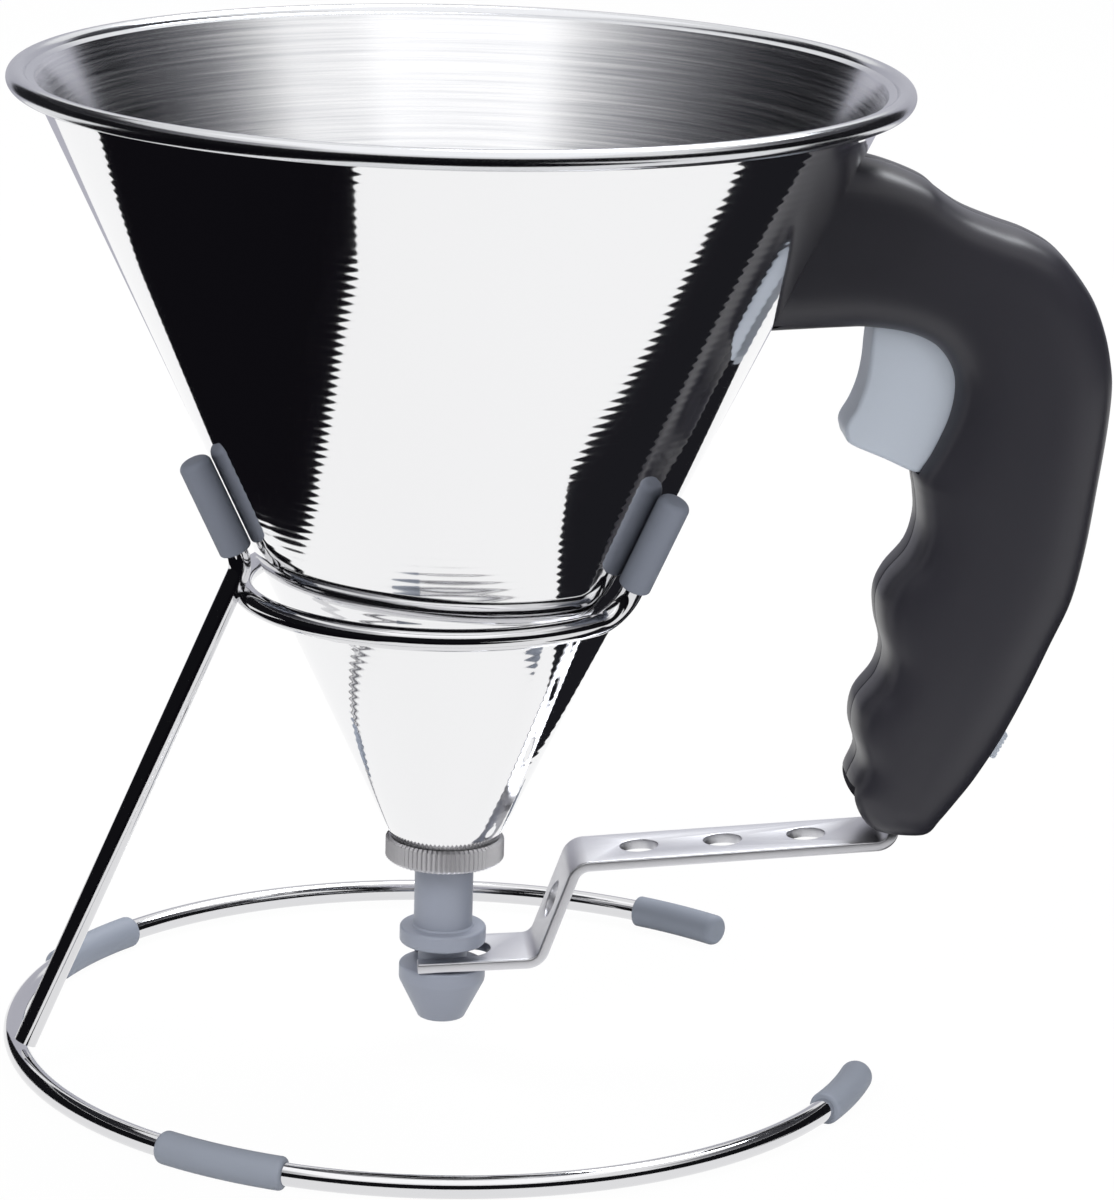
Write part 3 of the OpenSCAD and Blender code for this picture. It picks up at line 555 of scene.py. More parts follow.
# Stand: the leg, whose top is the rear prong, and the cradle ring, whose ends are the front prongs
LEG_FOOT, LEG_BEND = Vector((-73.0, 0, 5.5)), Vector((-36.19, 0, 87.5))
LEG_TOP = Vector((-44.15, 0, 104.31))
PRONG_FOOT = Vector((21.81, 25.53, CRADLE_Z))
PRONG_AT = radians(49.5)
TANGENT = Vector((16.495, 28.848, CRADLE_Z))
TANGENT_AT = radians(58.045)
SLEEVE_L, SLEEVE_UP, LEG_SLEEVE_UP, SLEEVE_CAP = 17.6, 6.6, 2.6, 1.6
BEND_R, LEG_BEND_R = 6, 5


def wire_bend(a, p, b, radius):
    """Bend of a wire at p on its way from a to b: its start, centre, axis, angle and end."""
    u, v = (a - p).normalized(), (b - p).normalized()
    half = u.angle(v) / 2
    start = p + u * radius / tan(half)
    centre = p + (u + v).normalized() * radius / sin(half)
    axis = (-u).cross(v).normalized()
    return start, centre, axis, pi - 2 * half, p + v * radius / tan(half)


def flip(v):
    """The same point or direction on the other side."""
    return Vector((v.x, -v.y, v.z))


def make_leg():
    start, centre, axis, angle, after = wire_bend(LEG_FOOT, LEG_BEND, LEG_TOP, LEG_BEND_R)
    up = LEG_BEND - LEG_FOOT
    out = LEG_TOP - LEG_BEND
    return draw_wire(stand_place(*LEG_FOOT), stand_way(up), WIRE_R, [
        ("straight", stand_way(up), (start - LEG_FOOT).length * MM),
        ("bend", stand_place(*centre), stand_way(axis), -angle, 12),
        ("straight", stand_way(out), (LEG_TOP - after).length * MM)])


def make_cradle():
    lean = CONE_LEAN
    up = Vector((sin(lean) * cos(PRONG_AT), sin(lean) * sin(PRONG_AT), cos(lean)))
    top = PRONG_FOOT + up * (SLEEVE_UP + SLEEVE_L - SLEEVE_CAP)
    start, centre, axis, angle, after = wire_bend(top, PRONG_FOOT, TANGENT, BEND_R)
    along = TANGENT - PRONG_FOOT
    ring_centre = (-CRADLE_SHIFT, 0, CRADLE_Z)
    f_start, f_centre, f_axis, f_angle, f_after = wire_bend(flip(TANGENT), flip(PRONG_FOOT), flip(top),
                                                            BEND_R)
    return draw_wire(stand_place(*top), stand_way(-up), WIRE_R, [
        ("straight", stand_way(-up), (start - top).length * MM),
        ("bend", stand_place(*centre), stand_way(axis), -angle, 12),
        ("straight", stand_way(along), (TANGENT - after).length * MM),
        ("bend", stand_place(*ring_centre), (0, 0, 1), -(2 * pi - 2 * TANGENT_AT), 96),
        ("straight", stand_way(flip(PRONG_FOOT) - flip(TANGENT)), (f_start - flip(TANGENT)).length * MM),
        ("bend", stand_place(*f_centre), stand_way(f_axis), -f_angle, 12),
        ("straight", stand_way(flip(up)), (flip(top) - f_after).length * MM)]), top, up


finish_piece(make_leg(), "support_leg_wire", WIRE, "stand", "support_leg")
cradle, PRONG_TOP, PRONG_UP = make_cradle()
finish_piece(cradle, "cradle_wire", WIRE, "stand", "cradle_ring")


def rubber_tube(at, half):
    return base_arc(at, half, SLEEVE_R, 16, 40)


def stand_flat(piece):
    """Cuts a rubber piece flat where it stands on the table."""
    pick(piece)
    start_edit()
    bpy.ops.mesh.bisect(plane_co=(0, 0, 0), plane_no=(0, 0, 1), threshold=1e-7, use_fill=True,
                        clear_inner=True)
    bpy.ops.object.mode_set(mode="OBJECT")


def join(pieces):
    pick(*pieces)
    bpy.ops.object.join()
    return pieces[0]


def make_base_sleeves():
    sleeves = []
    for side in (-1, 1):
        tube = rubber_tube(180 + side * BASE_SLEEVE_AT, degrees(BASE_SLEEVE_L / BASE_R) / 2)
        round_edges(tube, lambda a, b, sides: sharp(sides), 0.8, 4)
        stand_flat(tube)
        sleeves.append(tube)
    return join(sleeves)


def make_end_caps():
    caps = []
    span = degrees(CAP_L / BASE_R)
    outer_end = MOUTH_HALF - degrees(SLEEVE_R / BASE_R)
    for side in (1, -1):
        tube = rubber_tube(side * (outer_end + span / 2), span / 2)
        opening = on_base_ring(side * outer_end)
        near = lambda a, b, sides: sharp(sides) and ((a + b) / 2 - opening).length < 5 * MM
        far = lambda a, b, sides: sharp(sides, 60) and ((a + b) / 2 - opening).length > 10 * MM
        round_edges(tube, near, 2.1, 7)
        round_edges(tube, far, 0.5, 3)
        stand_flat(tube)
        caps.append(tube)
    return join(caps)


def make_prong_sleeves():
    sleeves = []
    profile = [(0, 1.2), (1.92, 0)] + arc(SLEEVE_R - 0.5, 0.5, 0.5, -90, 0, 5) + \
        arc(SLEEVE_R - 1.3, SLEEVE_L - 1.3, 1.3, 0, 90, 8) + [(0, SLEEVE_L)]
    foot = PRONG_FOOT + PRONG_UP * SLEEVE_UP
    feet = [(LEG_BEND + (LEG_TOP - LEG_BEND).normalized() * LEG_SLEEVE_UP, LEG_TOP), (foot, PRONG_TOP),
            (flip(foot), flip(PRONG_TOP))]
    for foot, top in feet:
        sleeve = lathe(profile, 40)
        lay_along(sleeve, stand_place(*foot), stand_place(*top))
        sleeves.append(sleeve)
    return join(sleeves)


finish_piece(make_base_sleeves(), "base_ring_sleeves", SLEEVE, "stand", "base_sleeves")
finish_piece(make_end_caps(), "ring_end_caps", SLEEVE, "stand", "end_caps")
# The three prong sleeves get the sleeve rubber with painted shade
finish_piece(make_prong_sleeves(), "prong_sleeves", PRONG_SLEEVE_PAINTED_SHADE, "stand", "cradle_sleeves")


# Outlet: knurled nut, seals, spout, and the hollow piston
def ring_shape(profile, steps):
    return lathe(profile + [profile[0]], steps)


# Nut: foot, height, outer radius and radius between knurls; thread, bore, floor, knurl pitch in degrees
NUT_Z, NUT_H, NUT_R, KNURL_R = 33.6, 4.1, 10.2, 9.84
THREAD_R, NUT_BORE, NUT_FLOOR, KNURL_STEP = 8.26, 5.35, 1.2, 2.5


def make_collar():
    nut = ring_shape([(NUT_BORE, NUT_Z + 0.25), (5.6, NUT_Z), (9.7, NUT_Z), (NUT_R, NUT_Z + 0.45),
                      (NUT_R, NUT_Z + 3.65), (9.75, NUT_Z + NUT_H), (THREAD_R, NUT_Z + NUT_H),
                      (THREAD_R, NUT_Z + NUT_FLOOR), (NUT_BORE, NUT_Z + NUT_FLOOR)], 144)
    pick(nut)
    for vertex in nut.data.vertices:
        x, y = vertex.co.x / MM - AXIS_X, vertex.co.y / MM
        turn = round(degrees(atan2(y, x)) / KNURL_STEP)
        vertex.select = hypot(x, y) > 9.6 and turn % 2 == 1
    for part in [*nut.data.edges, *nut.data.polygons]:
        part.select = False
    bpy.ops.object.mode_set(mode="EDIT")
    bpy.ops.mesh.select_mode(type="VERT")
    share = KNURL_R / NUT_R
    bpy.ops.transform.resize(value=(share, share, 1), center_override=place(0, 0, NUT_Z))
    bpy.ops.object.mode_set(mode="OBJECT")
    return nut


finish_piece(make_collar(), "knurled_collar", KNURLED, "collar", "collar_nut", 12)

TIP_Z, SHOULDER_Z, FLANGE_Z, PORT_Z, RING_Z, HEAD_Z = 4.9, 14.5, 18.4, 40.6, 44.25, 47.05
BORE, STEM_R, NECK_R, GROOVE_R, GROOVE_HW, PORT_R = 3.1, 5.05, 4.2, 3.91, 0.65, 2
SPOUT_Z, SPOUT_R, SPOUT_BORE = 35.65, 8.2, 6.4


def make_piston():
    """From the nose up: tip, shoulder, neck for the fork, flange, stem, ring groove and closed head."""
    profile = [(BORE, TIP_Z + 0.3), (3.4, TIP_Z)] + arc(3.8, TIP_Z + 0.4, 0.4, -90, -10, 4) + \
        [(7.37, SHOULDER_Z - 2.9)] + arc(7.05, SHOULDER_Z - 2.4, 0.4, -20, 0, 2) + \
        arc(7.05, SHOULDER_Z - 0.4, 0.4, 0, 90, 5) + [(NECK_R, SHOULDER_Z), (NECK_R, FLANGE_Z)] + \
        arc(6.95, FLANGE_Z + 0.5, 0.5, -90, 0, 5) + arc(6.95, FLANGE_Z + 2.5, 0.5, 0, 90, 5) + \
        [(5.35, FLANGE_Z + 3), (STEM_R, FLANGE_Z + 3.3), (STEM_R, RING_Z - GROOVE_HW),
         (GROOVE_R, RING_Z - GROOVE_HW), (GROOVE_R, RING_Z + GROOVE_HW), (STEM_R, RING_Z + GROOVE_HW)] + \
        arc(STEM_R - 0.5, HEAD_Z - 0.5, 0.5, 0, 90, 5) + \
        [(0, HEAD_Z), (0, HEAD_Z - 1.4), (BORE, HEAD_Z - 1.4)]
    piston = ring_shape(profile, 160)
    middle = place(0, 0, PORT_Z)
    for way in ((1, 0, 0), (0, 1, 0)):
        port = lathe([(0, -8), (PORT_R, -8), (PORT_R, 8), (0, 8)], 40)
        lay_along(port, middle, middle + Vector(way))
        carve(piston, [port])
    return piston


finish_piece(make_piston(), "hollow_piston", PISTON, "piston", "piston")
low = SPOUT_Z
spout = ring_shape([(SPOUT_BORE, low), (SPOUT_R, low), (SPOUT_R, CONE_Z), (8.45, CONE_Z), (10.4, low + 4.6),
                    (SPOUT_BORE, low + 4.6)], 128)
finish_piece(spout, "threaded_spout", PLAIN_STEEL, "funnel", "spout")
bush = ring_shape([(5.11, low + 0.2), (5.3, low), (6.35, low), (6.35, low + 4.65), (7.4, low + 4.65)] +
                  arc(6.9, low + 6.2, 0.5, 0, 90, 4) + [(6.35, low + 6.7)] +
                  arc(5.95, low + 9.4, 0.4, 0, 90, 4) + [(5.3, low + 9.8), (5.11, low + 9.6)], 128)
finish_piece(bush, "piston_bush", SEAL_WHITE, "funnel", "seal_sleeve")


# Lever: one bent strip with a fork, four holes with rounded edges, and a tab inside the grip
FORK_END, FORK_BEND, RISER_TOP = (-4.6, 15.609), (16.3, 16.704), (22.426, 34.004)
STRIP_END, TAB_TOP = (76.85, 38.14), (76.85, 52.34)
STRIP_BEND_R, STRIP_EDGE = 3.2, 0.42
TAB_Z, TAB_IN = 38.3, 2.3
FORK_HW, FORK_ROUND_X, FORK_OUT = 4.35, 3.95, -9
HOLE_R, RISER_HOLE, FIRST_HOLE, HOLE_PITCH = 3.3, 9.6, 11.2, 14.5


def bent_line(points, radius, steps=14):
    """A line through points with its corners rounded."""
    line = [Vector(points[0])]
    for before, corner, after in zip(points[:-2], points[1:-1], points[2:]):
        p = Vector(corner)
        u, v = (Vector(before) - p).normalized(), (Vector(after) - p).normalized()
        half = u.angle(v) / 2
        centre = p + (u + v).normalized() * radius / sin(half)
        first = p + u * radius / tan(half) - centre
        last = p + v * radius / tan(half) - centre
        way = 1 if first.x * last.y - first.y * last.x > 0 else -1
        sweep = pi - 2 * half
        for i in range(steps + 1):
            a = way * sweep * i / steps
            line.append(centre + Vector((first.x * cos(a) - first.y * sin(a),
                                         first.x * sin(a) + first.y * cos(a))))
    line.append(Vector(points[-1]))
    return line


def make_lever():
    path = bent_line([FORK_END, FORK_BEND, RISER_TOP, STRIP_END, TAB_TOP], STRIP_BEND_R)
    half_t, edge = STRIP_T / 2, STRIP_EDGE
    rings = []
    for i, p in enumerate(path):
        before, after = path[max(i - 1, 0)], path[min(i + 1, len(path) - 1)]
        d = (after - before).normalized()
        side = Vector((-d.y, d.x))
        # The tab is narrower, with rounded shoulders at the foot of its bend
        rise = max(0.0, min(1.0, (p.y - TAB_Z) / STRIP_BEND_R)) if p.x > 70 else 0.0
        half_w = STRIP_W / 2 - TAB_IN * (1 - sqrt(max(0.0, 1 - rise * rise)))
        ring = []
        for cy, ct, a0 in ((1, 1, 0), (-1, 1, 90), (-1, -1, 180), (1, -1, 270)):
            for k in range(5):
                a = radians(a0 + k * 22.5)
                y = cy * (half_w - edge) + edge * cos(a)
                t = ct * (half_t - edge) + edge * sin(a)
                q = p + side * t
                ring.append(place(q.x, y, q.y))
        rings.append(ring)
    lever = loft("bent_strip_lever", rings)
    slot = [(FORK_OUT, -FORK_HW)] + arc(FORK_ROUND_X, 0, FORK_HW, -90, 90, 30) + [(FORK_OUT, FORK_HW)]
    cutter = loft("slot", [[place(x, y, z) for x, y in slot] for z in (10, 22)])
    riser = (Vector(RISER_TOP) - Vector(FORK_BEND)).normalized()
    along = (Vector(STRIP_END) - Vector(RISER_TOP)).normalized()
    holes = [(Vector(FORK_BEND) + riser * RISER_HOLE, riser)]
    for k in range(3):
        holes.append((Vector(RISER_TOP) + along * (FIRST_HOLE + HOLE_PITCH * k), along))
    holes = [(place(c.x, 0, c.y), Vector((way.x, 0, way.y))) for c, way in holes]
    tools = [cutter]
    for at, way in holes:
        punch = lathe([(0, -4), (HOLE_R, -4), (HOLE_R, 4), (0, 4)], 56)
        lay_along(punch, at, at + Vector((-way.z, 0, way.x)))
        tools.append(punch)
    carve(lever, tools)

    def rim(a, b, sides):
        if not sharp(sides, 50):
            return False
        m = (a + b) / 2
        for at, way in holes:
            off, normal = m - at, way.cross(Vector((0, 1, 0)))
            if (off - normal * off.dot(normal)).length < (HOLE_R + 0.2) * MM:
                return True
        return m.x / MM - AXIS_X < 9 and abs(m.y) / MM < 7.4
    round_edges(lever, rim, 0.4, 3)
    return lever


finish_piece(make_lever(), "bent_strip_lever", STRIP, "linkage", "lever", 35)


# Grip: two moulded half shells with a seam round the middle plane
GRIP_OUTLINE = [
    (-0.075, 0.742), (0.1, 0.748), (0.225, 0.752), (0.3, 0.753), (0.408, 0.746), (0.488, 0.729),
    (0.533, 0.701), (0.548, 0.669), (0.535, 0.625), (0.495, 0.576), (0.457, 0.541), (0.46, 0.52),
    (0.467, 0.501), (0.472, 0.464), (0.45, 0.422), (0.392, 0.385), (0.367, 0.353), (0.372, 0.314),
    (0.392, 0.272), (0.375, 0.234), (0.323, 0.197), (0.312, 0.158), (0.333, 0.115), (0.307, 0.077),
    (0.312, 0.05), (0.343, 0.022), (0.388, 0.006), (0.47, 0), (0.535, 0.003), (0.573, 0.025),
    (0.618, 0.054), (0.672, 0.091), (0.738, 0.147), (0.803, 0.215), (0.867, 0.291), (0.92, 0.356),
    (0.952, 0.435), (0.973, 0.517), (0.993, 0.603), (1, 0.669), (0.99, 0.711), (0.97, 0.751),
    (0.935, 0.794), (0.882, 0.833), (0.825, 0.864), (0.747, 0.886), (0.66, 0.901), (0.565, 0.92),
    (0.495, 0.943), (0.447, 0.962), (0.355, 0.981), (0.267, 0.992), (0.125, 1)]
GRIP_SPINE = [
    (0.075, 0.876), (0.325, 0.872), (0.542, 0.838), (0.708, 0.766), (0.767, 0.664), (0.733, 0.546),
    (0.675, 0.427), (0.6, 0.292), (0.5, 0.156), (0.45, 0.067)]


def in_grip(share):
    return HANDLE_X + share[0] * HANDLE_D, HANDLE_Z + share[1] * HANDLE_H


PIVOT = in_grip((0.425, 0.766))
SHELL_T = 2.7
CAVE_HW = HANDLE_W / 2 - SHELL_T
SEAT_R, SEAT_DEPTH, NOSE_CUT_HW, MOUTH_HW = 2.82, 2.9, 5.65, 5.4
FOOT_X0, FOOT_X1, FOOT_HW, FOOT_TOP = 67.45, 81.1, 7.6, 48.7
ROUNDNESS = 3.8
GRIP_SCREWS = [in_grip(s) for s in ((0.88, 0.741), (0.833, 0.41), (0.567, 0.09))]
BRACKET_SCREWS = [in_grip(s) for s in ((0.235, 0.86), (0.31, 0.91))]
TRIGGER_L, TRIGGER_W = 26.5, 10.2
CURSOR_AT = in_grip((0.719, 0.131))
CURSOR_TURN = atan2(0.455, 0.89)


def cursor_box(name, out, across, along):
    """A box in the cursor's own frame: out of the grip's back, across it, and along its slope."""
    made = box(name, *out, *across, *along)
    move_mesh(made, Matrix.Rotation(CURSOR_TURN, 4, "Y"), place(CURSOR_AT[0], 0, CURSOR_AT[1]))
    return made


def make_shell(side, name):
    corners = [in_grip(s) for s in GRIP_OUTLINE]
    spine = smooth_line([in_grip(s) for s in GRIP_SPINE], 6, closed=False)
    outline = smooth_line(corners, 5, keep=(0, len(corners) - 1))
    own = [nearest(spine, p) for p in outline]
    own = [(sum(own[(i + k) % len(own)][0] for k in range(-4, 5)) / 9,
            sum(own[(i + k) % len(own)][1] for k in range(-4, 5)) / 9) for i in range(len(own))]
    # Across the half width: a fine groove at the seam, a full round edge, and a side with a low crown
    steps = [(0.0, 0.014), (0.012, 0.004), (0.03, 0.0)]
    for inward in (0.0012, 0.005, 0.012, 0.022, 0.036, 0.055, 0.08, 0.11, 0.15, 0.2, 0.26, 0.33, 0.42, 0.52,
                   0.64, 0.76):
        steps.append((max(0.03, (1 - (1 - inward) ** ROUNDNESS) ** (1 / ROUNDNESS)), inward))
    rings = []
    for across, shrink in steps:
        rings.append([place(x + (ox - x) * shrink, side * across * HANDLE_W / 2, z + (oz - z) * shrink)
                      for (x, z), (ox, oz) in zip(outline, own)])
    shell = loft(name, rings)
    n = len(corners)
    cave = []
    for i in range(n):
        dx = corners[(i + 1) % n][0] - corners[i - 1][0]
        dz = corners[(i + 1) % n][1] - corners[i - 1][1]
        size = hypot(dx, dz)
        cave.append((corners[i][0] - dz / size * SHELL_T, corners[i][1] + dx / size * SHELL_T))
    nose = [in_grip(s) for s in ((-0.1, 0.81), (0.06, 0.81), (0.17, 0.955), (-0.1, 0.955))]
    tools = [
        prism("cave", cave, -side * 2, side * CAVE_HW),
        lathe([(0, CONE_Z), (OUTLET_R + 0.05, CONE_Z), (MOUTH_R + 0.05, RIM_Z), (0, RIM_Z)], 256),
        prism("nose_cut", nose, -NOSE_CUT_HW, NOSE_CUT_HW),
        box("trigger_mouth", PIVOT[0] - 0.27 * TRIGGER_L, PIVOT[0] + 0.58 * TRIGGER_L, -MOUTH_HW, MOUTH_HW,
            PIVOT[1] - TRIGGER_L - 0.3, PIVOT[1] + 4.5),
        box("foot_mouth", FOOT_X0, FOOT_X1, -FOOT_HW, FOOT_HW, HANDLE_Z - 1, FOOT_TOP),
        cursor_box("cursor_slot", (-CAVE_HW, CAVE_HW), (-1.86, 1.86), (-2.8, 10.8))]
    if side > 0:
        tools += [rod("screw_seat", x, z, SEAT_R, HANDLE_W / 2 - SEAT_DEPTH, HANDLE_W / 2 + 1)
                  for x, z in GRIP_SCREWS + BRACKET_SCREWS]
    carve(shell, tools)
    return shell


for side, name, node in ((-1, "grip_half_near", "handle_left"), (1, "grip_half_far", "handle_right")):
    finish_piece(make_shell(side, name), name, GRIP, "funnel", node)

# Trigger: a moulded blade with a hollow front, a boss on its pin, and two slotted tails
TRIGGER_SHARES = [
    (-0.242, 0.04), (-0.26, -0.189), (-0.268, -0.321), (-0.291, -0.453), (-0.336, -0.581), (-0.396, -0.694),
    (-0.392, -0.77), (-0.351, -0.826), (-0.143, -0.913), (0.06, -1), (0.128, -0.966), (0.211, -0.845),
    (0.294, -0.634), (0.325, -0.43), (0.294, -0.234), (0.225, 0.04)]

# Where the bar's link pin sits, the tails' fall and round end, their faces about the bar, and the boss
LINK_AT, TAIL_DOWN, TAIL_R = (96.07, 125.38), radians(13), 3
TAIL_IN, TAIL_OUT, BOSS_R, BORE_R, LINK_PLAY = 2.3, 4.9, 4.2, 1.56, 0.7


def make_trigger():
    corners = [(PIVOT[0] + x * TRIGGER_L, PIVOT[1] + z * TRIGGER_L) for x, z in TRIGGER_SHARES]
    outline = smooth_line(corners, 5, keep=(0, 15))
    blade = prism("lift_trigger", outline, -TRIGGER_W / 2, TRIGGER_W / 2)

    def at_side(a, b, sides):
        return sharp(sides, 60) and abs(abs((a.y + b.y) / 2) - TRIGGER_W / 2 * MM) < 1e-5
    round_edges(blade, at_side, 1.3, 5)
    parts = [rod("boss", *PIVOT, BOSS_R, -TRIGGER_W / 2 + 0.1, TRIGGER_W / 2 - 0.1)]
    arm = hypot(LINK_AT[0] - PIVOT[0], LINK_AT[1] - PIVOT[1])

    def swung(points):
        """Points given along the tail, turned down to where it lies at rest."""
        c, s = cos(TAIL_DOWN), sin(TAIL_DOWN)
        return [(PIVOT[0] + x * c + z * s, PIVOT[1] - x * s + z * c) for x, z in points]

    for side in (-1, 1):
        tail = [(0, -TAIL_R)] + arc(arm, 0, TAIL_R, -90, 90, 15) + [(0, TAIL_R)]
        parts.append(prism("tail", swung(tail), *sorted((side * TAIL_IN, side * TAIL_OUT))))
    carve(blade, parts, "UNION")
    slot = arc(arm, 0, BORE_R, -90, 90, 15) + arc(arm - LINK_PLAY, 0, BORE_R, 90, 270, 15)
    tools = [rod("pin_bore", *PIVOT, BORE_R, -9, 9), prism("pin_slot", swung(slot), -9, 9),
             box("bar_room", PIVOT[0] + BOSS_R, PIVOT[0] + BOSS_R + arm, -TAIL_IN, TAIL_IN,
                 PIVOT[1] - 7.2, PIVOT[1] + 5.4)]
    carve(blade, tools)
    return blade


finish_piece(make_trigger(), "lift_trigger", LIGHT, "trigger", "trigger", 35)


def make_trigger_pin():
    """The trigger's pin, with thinner ends that sit inside the shells."""
    end, step, thin, thick = 8, 5.2, 1.0, 1.5
    pin = lathe([(0, -end), (0.8, -end), (thin, 0.2 - end), (thin, -step), (thick, -step), (thick, step),
                 (thin, step), (thin, end - 0.2), (0.8, end), (0, end)], 40)
    lay_along(pin, place(PIVOT[0], 0, PIVOT[1]), place(PIVOT[0], 1, PIVOT[1]))
    return pin


finish_piece(make_trigger_pin(), "stepped_trigger_pin", PLAIN_STEEL, "funnel", "trigger_pin")


# How deep a head sits, its height and radius, and half the length and width of its cross
SCREW_SUNK, HEAD_H, HEAD_R, CROSS = 0.9, 2, 2.7, (1.5, 0.3)


def make_screws(places):
    """Pan-head screws with a cross recess, sunk in their seats on the far side of the grip."""
    top, tip, shank = HANDLE_W / 2 - SCREW_SUNK, -CAVE_HW + 0.2, 1.4
    profile = [(0, tip), (1.0, tip), (shank, tip + 0.6), (shank, top - HEAD_H), (HEAD_R, top - HEAD_H)] + \
        arc(HEAD_R - 0.8, top - 0.8, 0.8, 0, 70, 6) + [(0, top)]
    screws = []
    for x, z in places:
        screw = lathe(profile, 40)
        lay_along(screw, place(x, 0, z), place(x, 1, z))
        carve(screw, [box("recess", x - a, x + a, top - 1, top + 1, z - b, z + b)
                      for a, b in (CROSS, CROSS[::-1])])
        screws.append(screw)
    return join(screws)


finish_piece(make_screws(GRIP_SCREWS), "grip_screws", PLAIN_STEEL, "funnel", "handle_screws", 35)
finish_piece(make_screws(BRACKET_SCREWS), "nose_screws", PLAIN_STEEL, "funnel", "bracket_screws",
             35)


# Return spring round the pull bar, between its washer and the lower guide: the real one shortens as the
# lever rises, this coil keeps one length
SPRING_X, SPRING_Z, SPRING_TOP, SPRING_R, SPRING_WIRE = 81.1, 57.9, 72.1, 3.3, 0.45
SPRING_TURNS, SPRING_RISE, TURN_STEPS = 5.5, 13.68, 24


def make_return_spring():
    select_none()
    bpy.ops.mesh.primitive_circle_add(vertices=16, radius=SPRING_WIRE * MM, location=(SPRING_R * MM, 0, 0),
                                      rotation=(pi / 2, 0, 0))
    coil = bpy.context.object
    bpy.ops.object.transform_apply()
    steps = round(SPRING_TURNS * TURN_STEPS)
    use_modifier(coil, "SCREW", axis="Z", angle=2 * pi * SPRING_TURNS, screw_offset=SPRING_RISE * MM,
                 steps=steps, render_steps=steps)
    start_edit()
    bpy.ops.mesh.fill_holes(sides=0)
    bpy.ops.mesh.normals_make_consistent(inside=False)
    bpy.ops.transform.translate(value=place(SPRING_X, 0, SPRING_Z))
    bpy.ops.object.mode_set(mode="OBJECT")
    return coil


coil = make_return_spring()
finish_piece(coil, "return_spring_coil", PLAIN_STEEL, "funnel", "return_spring", 60)
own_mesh(coil)


# Flow cursor on the grip's back: a small ribbed nub on a flange inside the shell
def make_cursor():
    nub = cursor_box("flow_slider", (-3.2, 2.1), (-1.8, 1.8), (-2.5, 2.5))
    round_edges(nub, lambda a, b, sides: sharp(sides, 60), 0.45, 4)
    flange = cursor_box("flow_slider_flange", (-4.4, -3.2), (-4.0, 4.0), (-3.7, 3.7))
    round_edges(flange, lambda a, b, sides: sharp(sides, 60), 0.2, 2)
    carve(nub, [cursor_box("rib_groove", (1.85, 3), (-3, 3), (z - 0.22, z + 0.22))
                for z in (-1.2, -0.4, 0.4, 1.2)])
    return join([nub, flange])


finish_piece(make_cursor(), "flow_slider", LIGHT, "cursor", "flow_cursor", 35)

# Finish for the CAD nodes that keep their shape
kept = {
    "seat_seal": SEAL_BLACK, "piston_o_ring": SEAL_BLACK, "pull_bar": STRIP, "bar_rivets": PLAIN_STEEL,
    "link_pin": PLAIN_STEEL, "spring_washer": PLAIN_STEEL, "lower_guide": SEAL_WHITE,
    "upper_guide": SEAL_WHITE, "handle_bracket": STRIP,
}
for name, material in kept.items():
    for place_in_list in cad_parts[name].material_slots:
        place_in_list.material = material


# Camera at the photograph's angle
def make_camera():
    pitch, roll, turn = radians(15.32), radians(1.66), radians(5)
    distance, side, height = 835.95, 18.07, 79.95
    right = Vector((cos(turn), -sin(turn), 0))
    ahead = Vector((sin(turn), cos(turn), 0))
    forward = ahead * cos(pitch) + Vector((0, 0, -sin(pitch)))
    up = ahead * sin(pitch) + Vector((0, 0, cos(pitch)))
    level_right = right * cos(roll) + up * sin(roll)
    level_up = up * cos(roll) - right * sin(roll)
    aim = place(0, 0, height) + right * side * MM
    bpy.ops.object.camera_add(location=aim - forward * distance * MM)
    camera = bpy.context.object
    camera.rotation_euler = Matrix((level_right, level_up, -forward)).transposed().to_euler()
    camera.data.lens = 147.9
    camera.data.sensor_width = 36
    camera.data.clip_start = 0.01
    camera.data.clip_end = 20
    bpy.context.scene.camera = camera
    return right, ahead


view_right, view_ahead = make_camera()


# Studio: white floor and world, soft lamps, and dark and light cards that show only in reflections
def seen_or_mirrored(owner):
    """1 for camera and glossy rays, 0 for the rest."""
    rays = add(owner, "ShaderNodeLightPath")
    return add(owner, "ShaderNodeMath", {"operation": "MAXIMUM"},
               {0: (rays, "Is Camera Ray"), 1: (rays, "Is Glossy Ray")})


def studio_world():
    """White where it is seen or mirrored, and half as strong as light."""
    world = bpy.data.worlds.new("studio")
    world.use_nodes = True
    bpy.context.scene.world = world
    ground = world.node_tree.nodes["Background"]
    ground.inputs["Color"].default_value = (1, 1, 1, 1)
    feed(ground, "Strength", add(world, "ShaderNodeMapRange", {"To Min": 0.5, "To Max": 1.0},
                                 {"Value": (seen_or_mirrored(world), 0)}))


studio_world()


def make_floor():
    select_none()
    bpy.ops.mesh.primitive_plane_add(size=12, location=(0, 0, 0))
    floor = bpy.context.object
    floor.name = "studio_floor"
    # White paper: it glows only where it is seen or mirrored, and the shadow keeps a 3 per cent share
    material, body = new_material("white_paper_sweep", Base_Color=linear("#f2f2f2"), Roughness=0.9)
    glow = add(material, "ShaderNodeEmission", {"Color": (1, 1, 1, 1)})
    share = add(material, "ShaderNodeMath", {"operation": "MULTIPLY", 1: 0.97},
                {0: (seen_or_mirrored(material), 0)})
    mix = add(material, "ShaderNodeMixShader", links={0: (share, 0), 1: (body, 0), 2: (glow, 0)})
    feed(material.node_tree.nodes["Material Output"], "Surface", mix)
    floor.data.materials.append(material)
    floor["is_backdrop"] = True


make_floor()


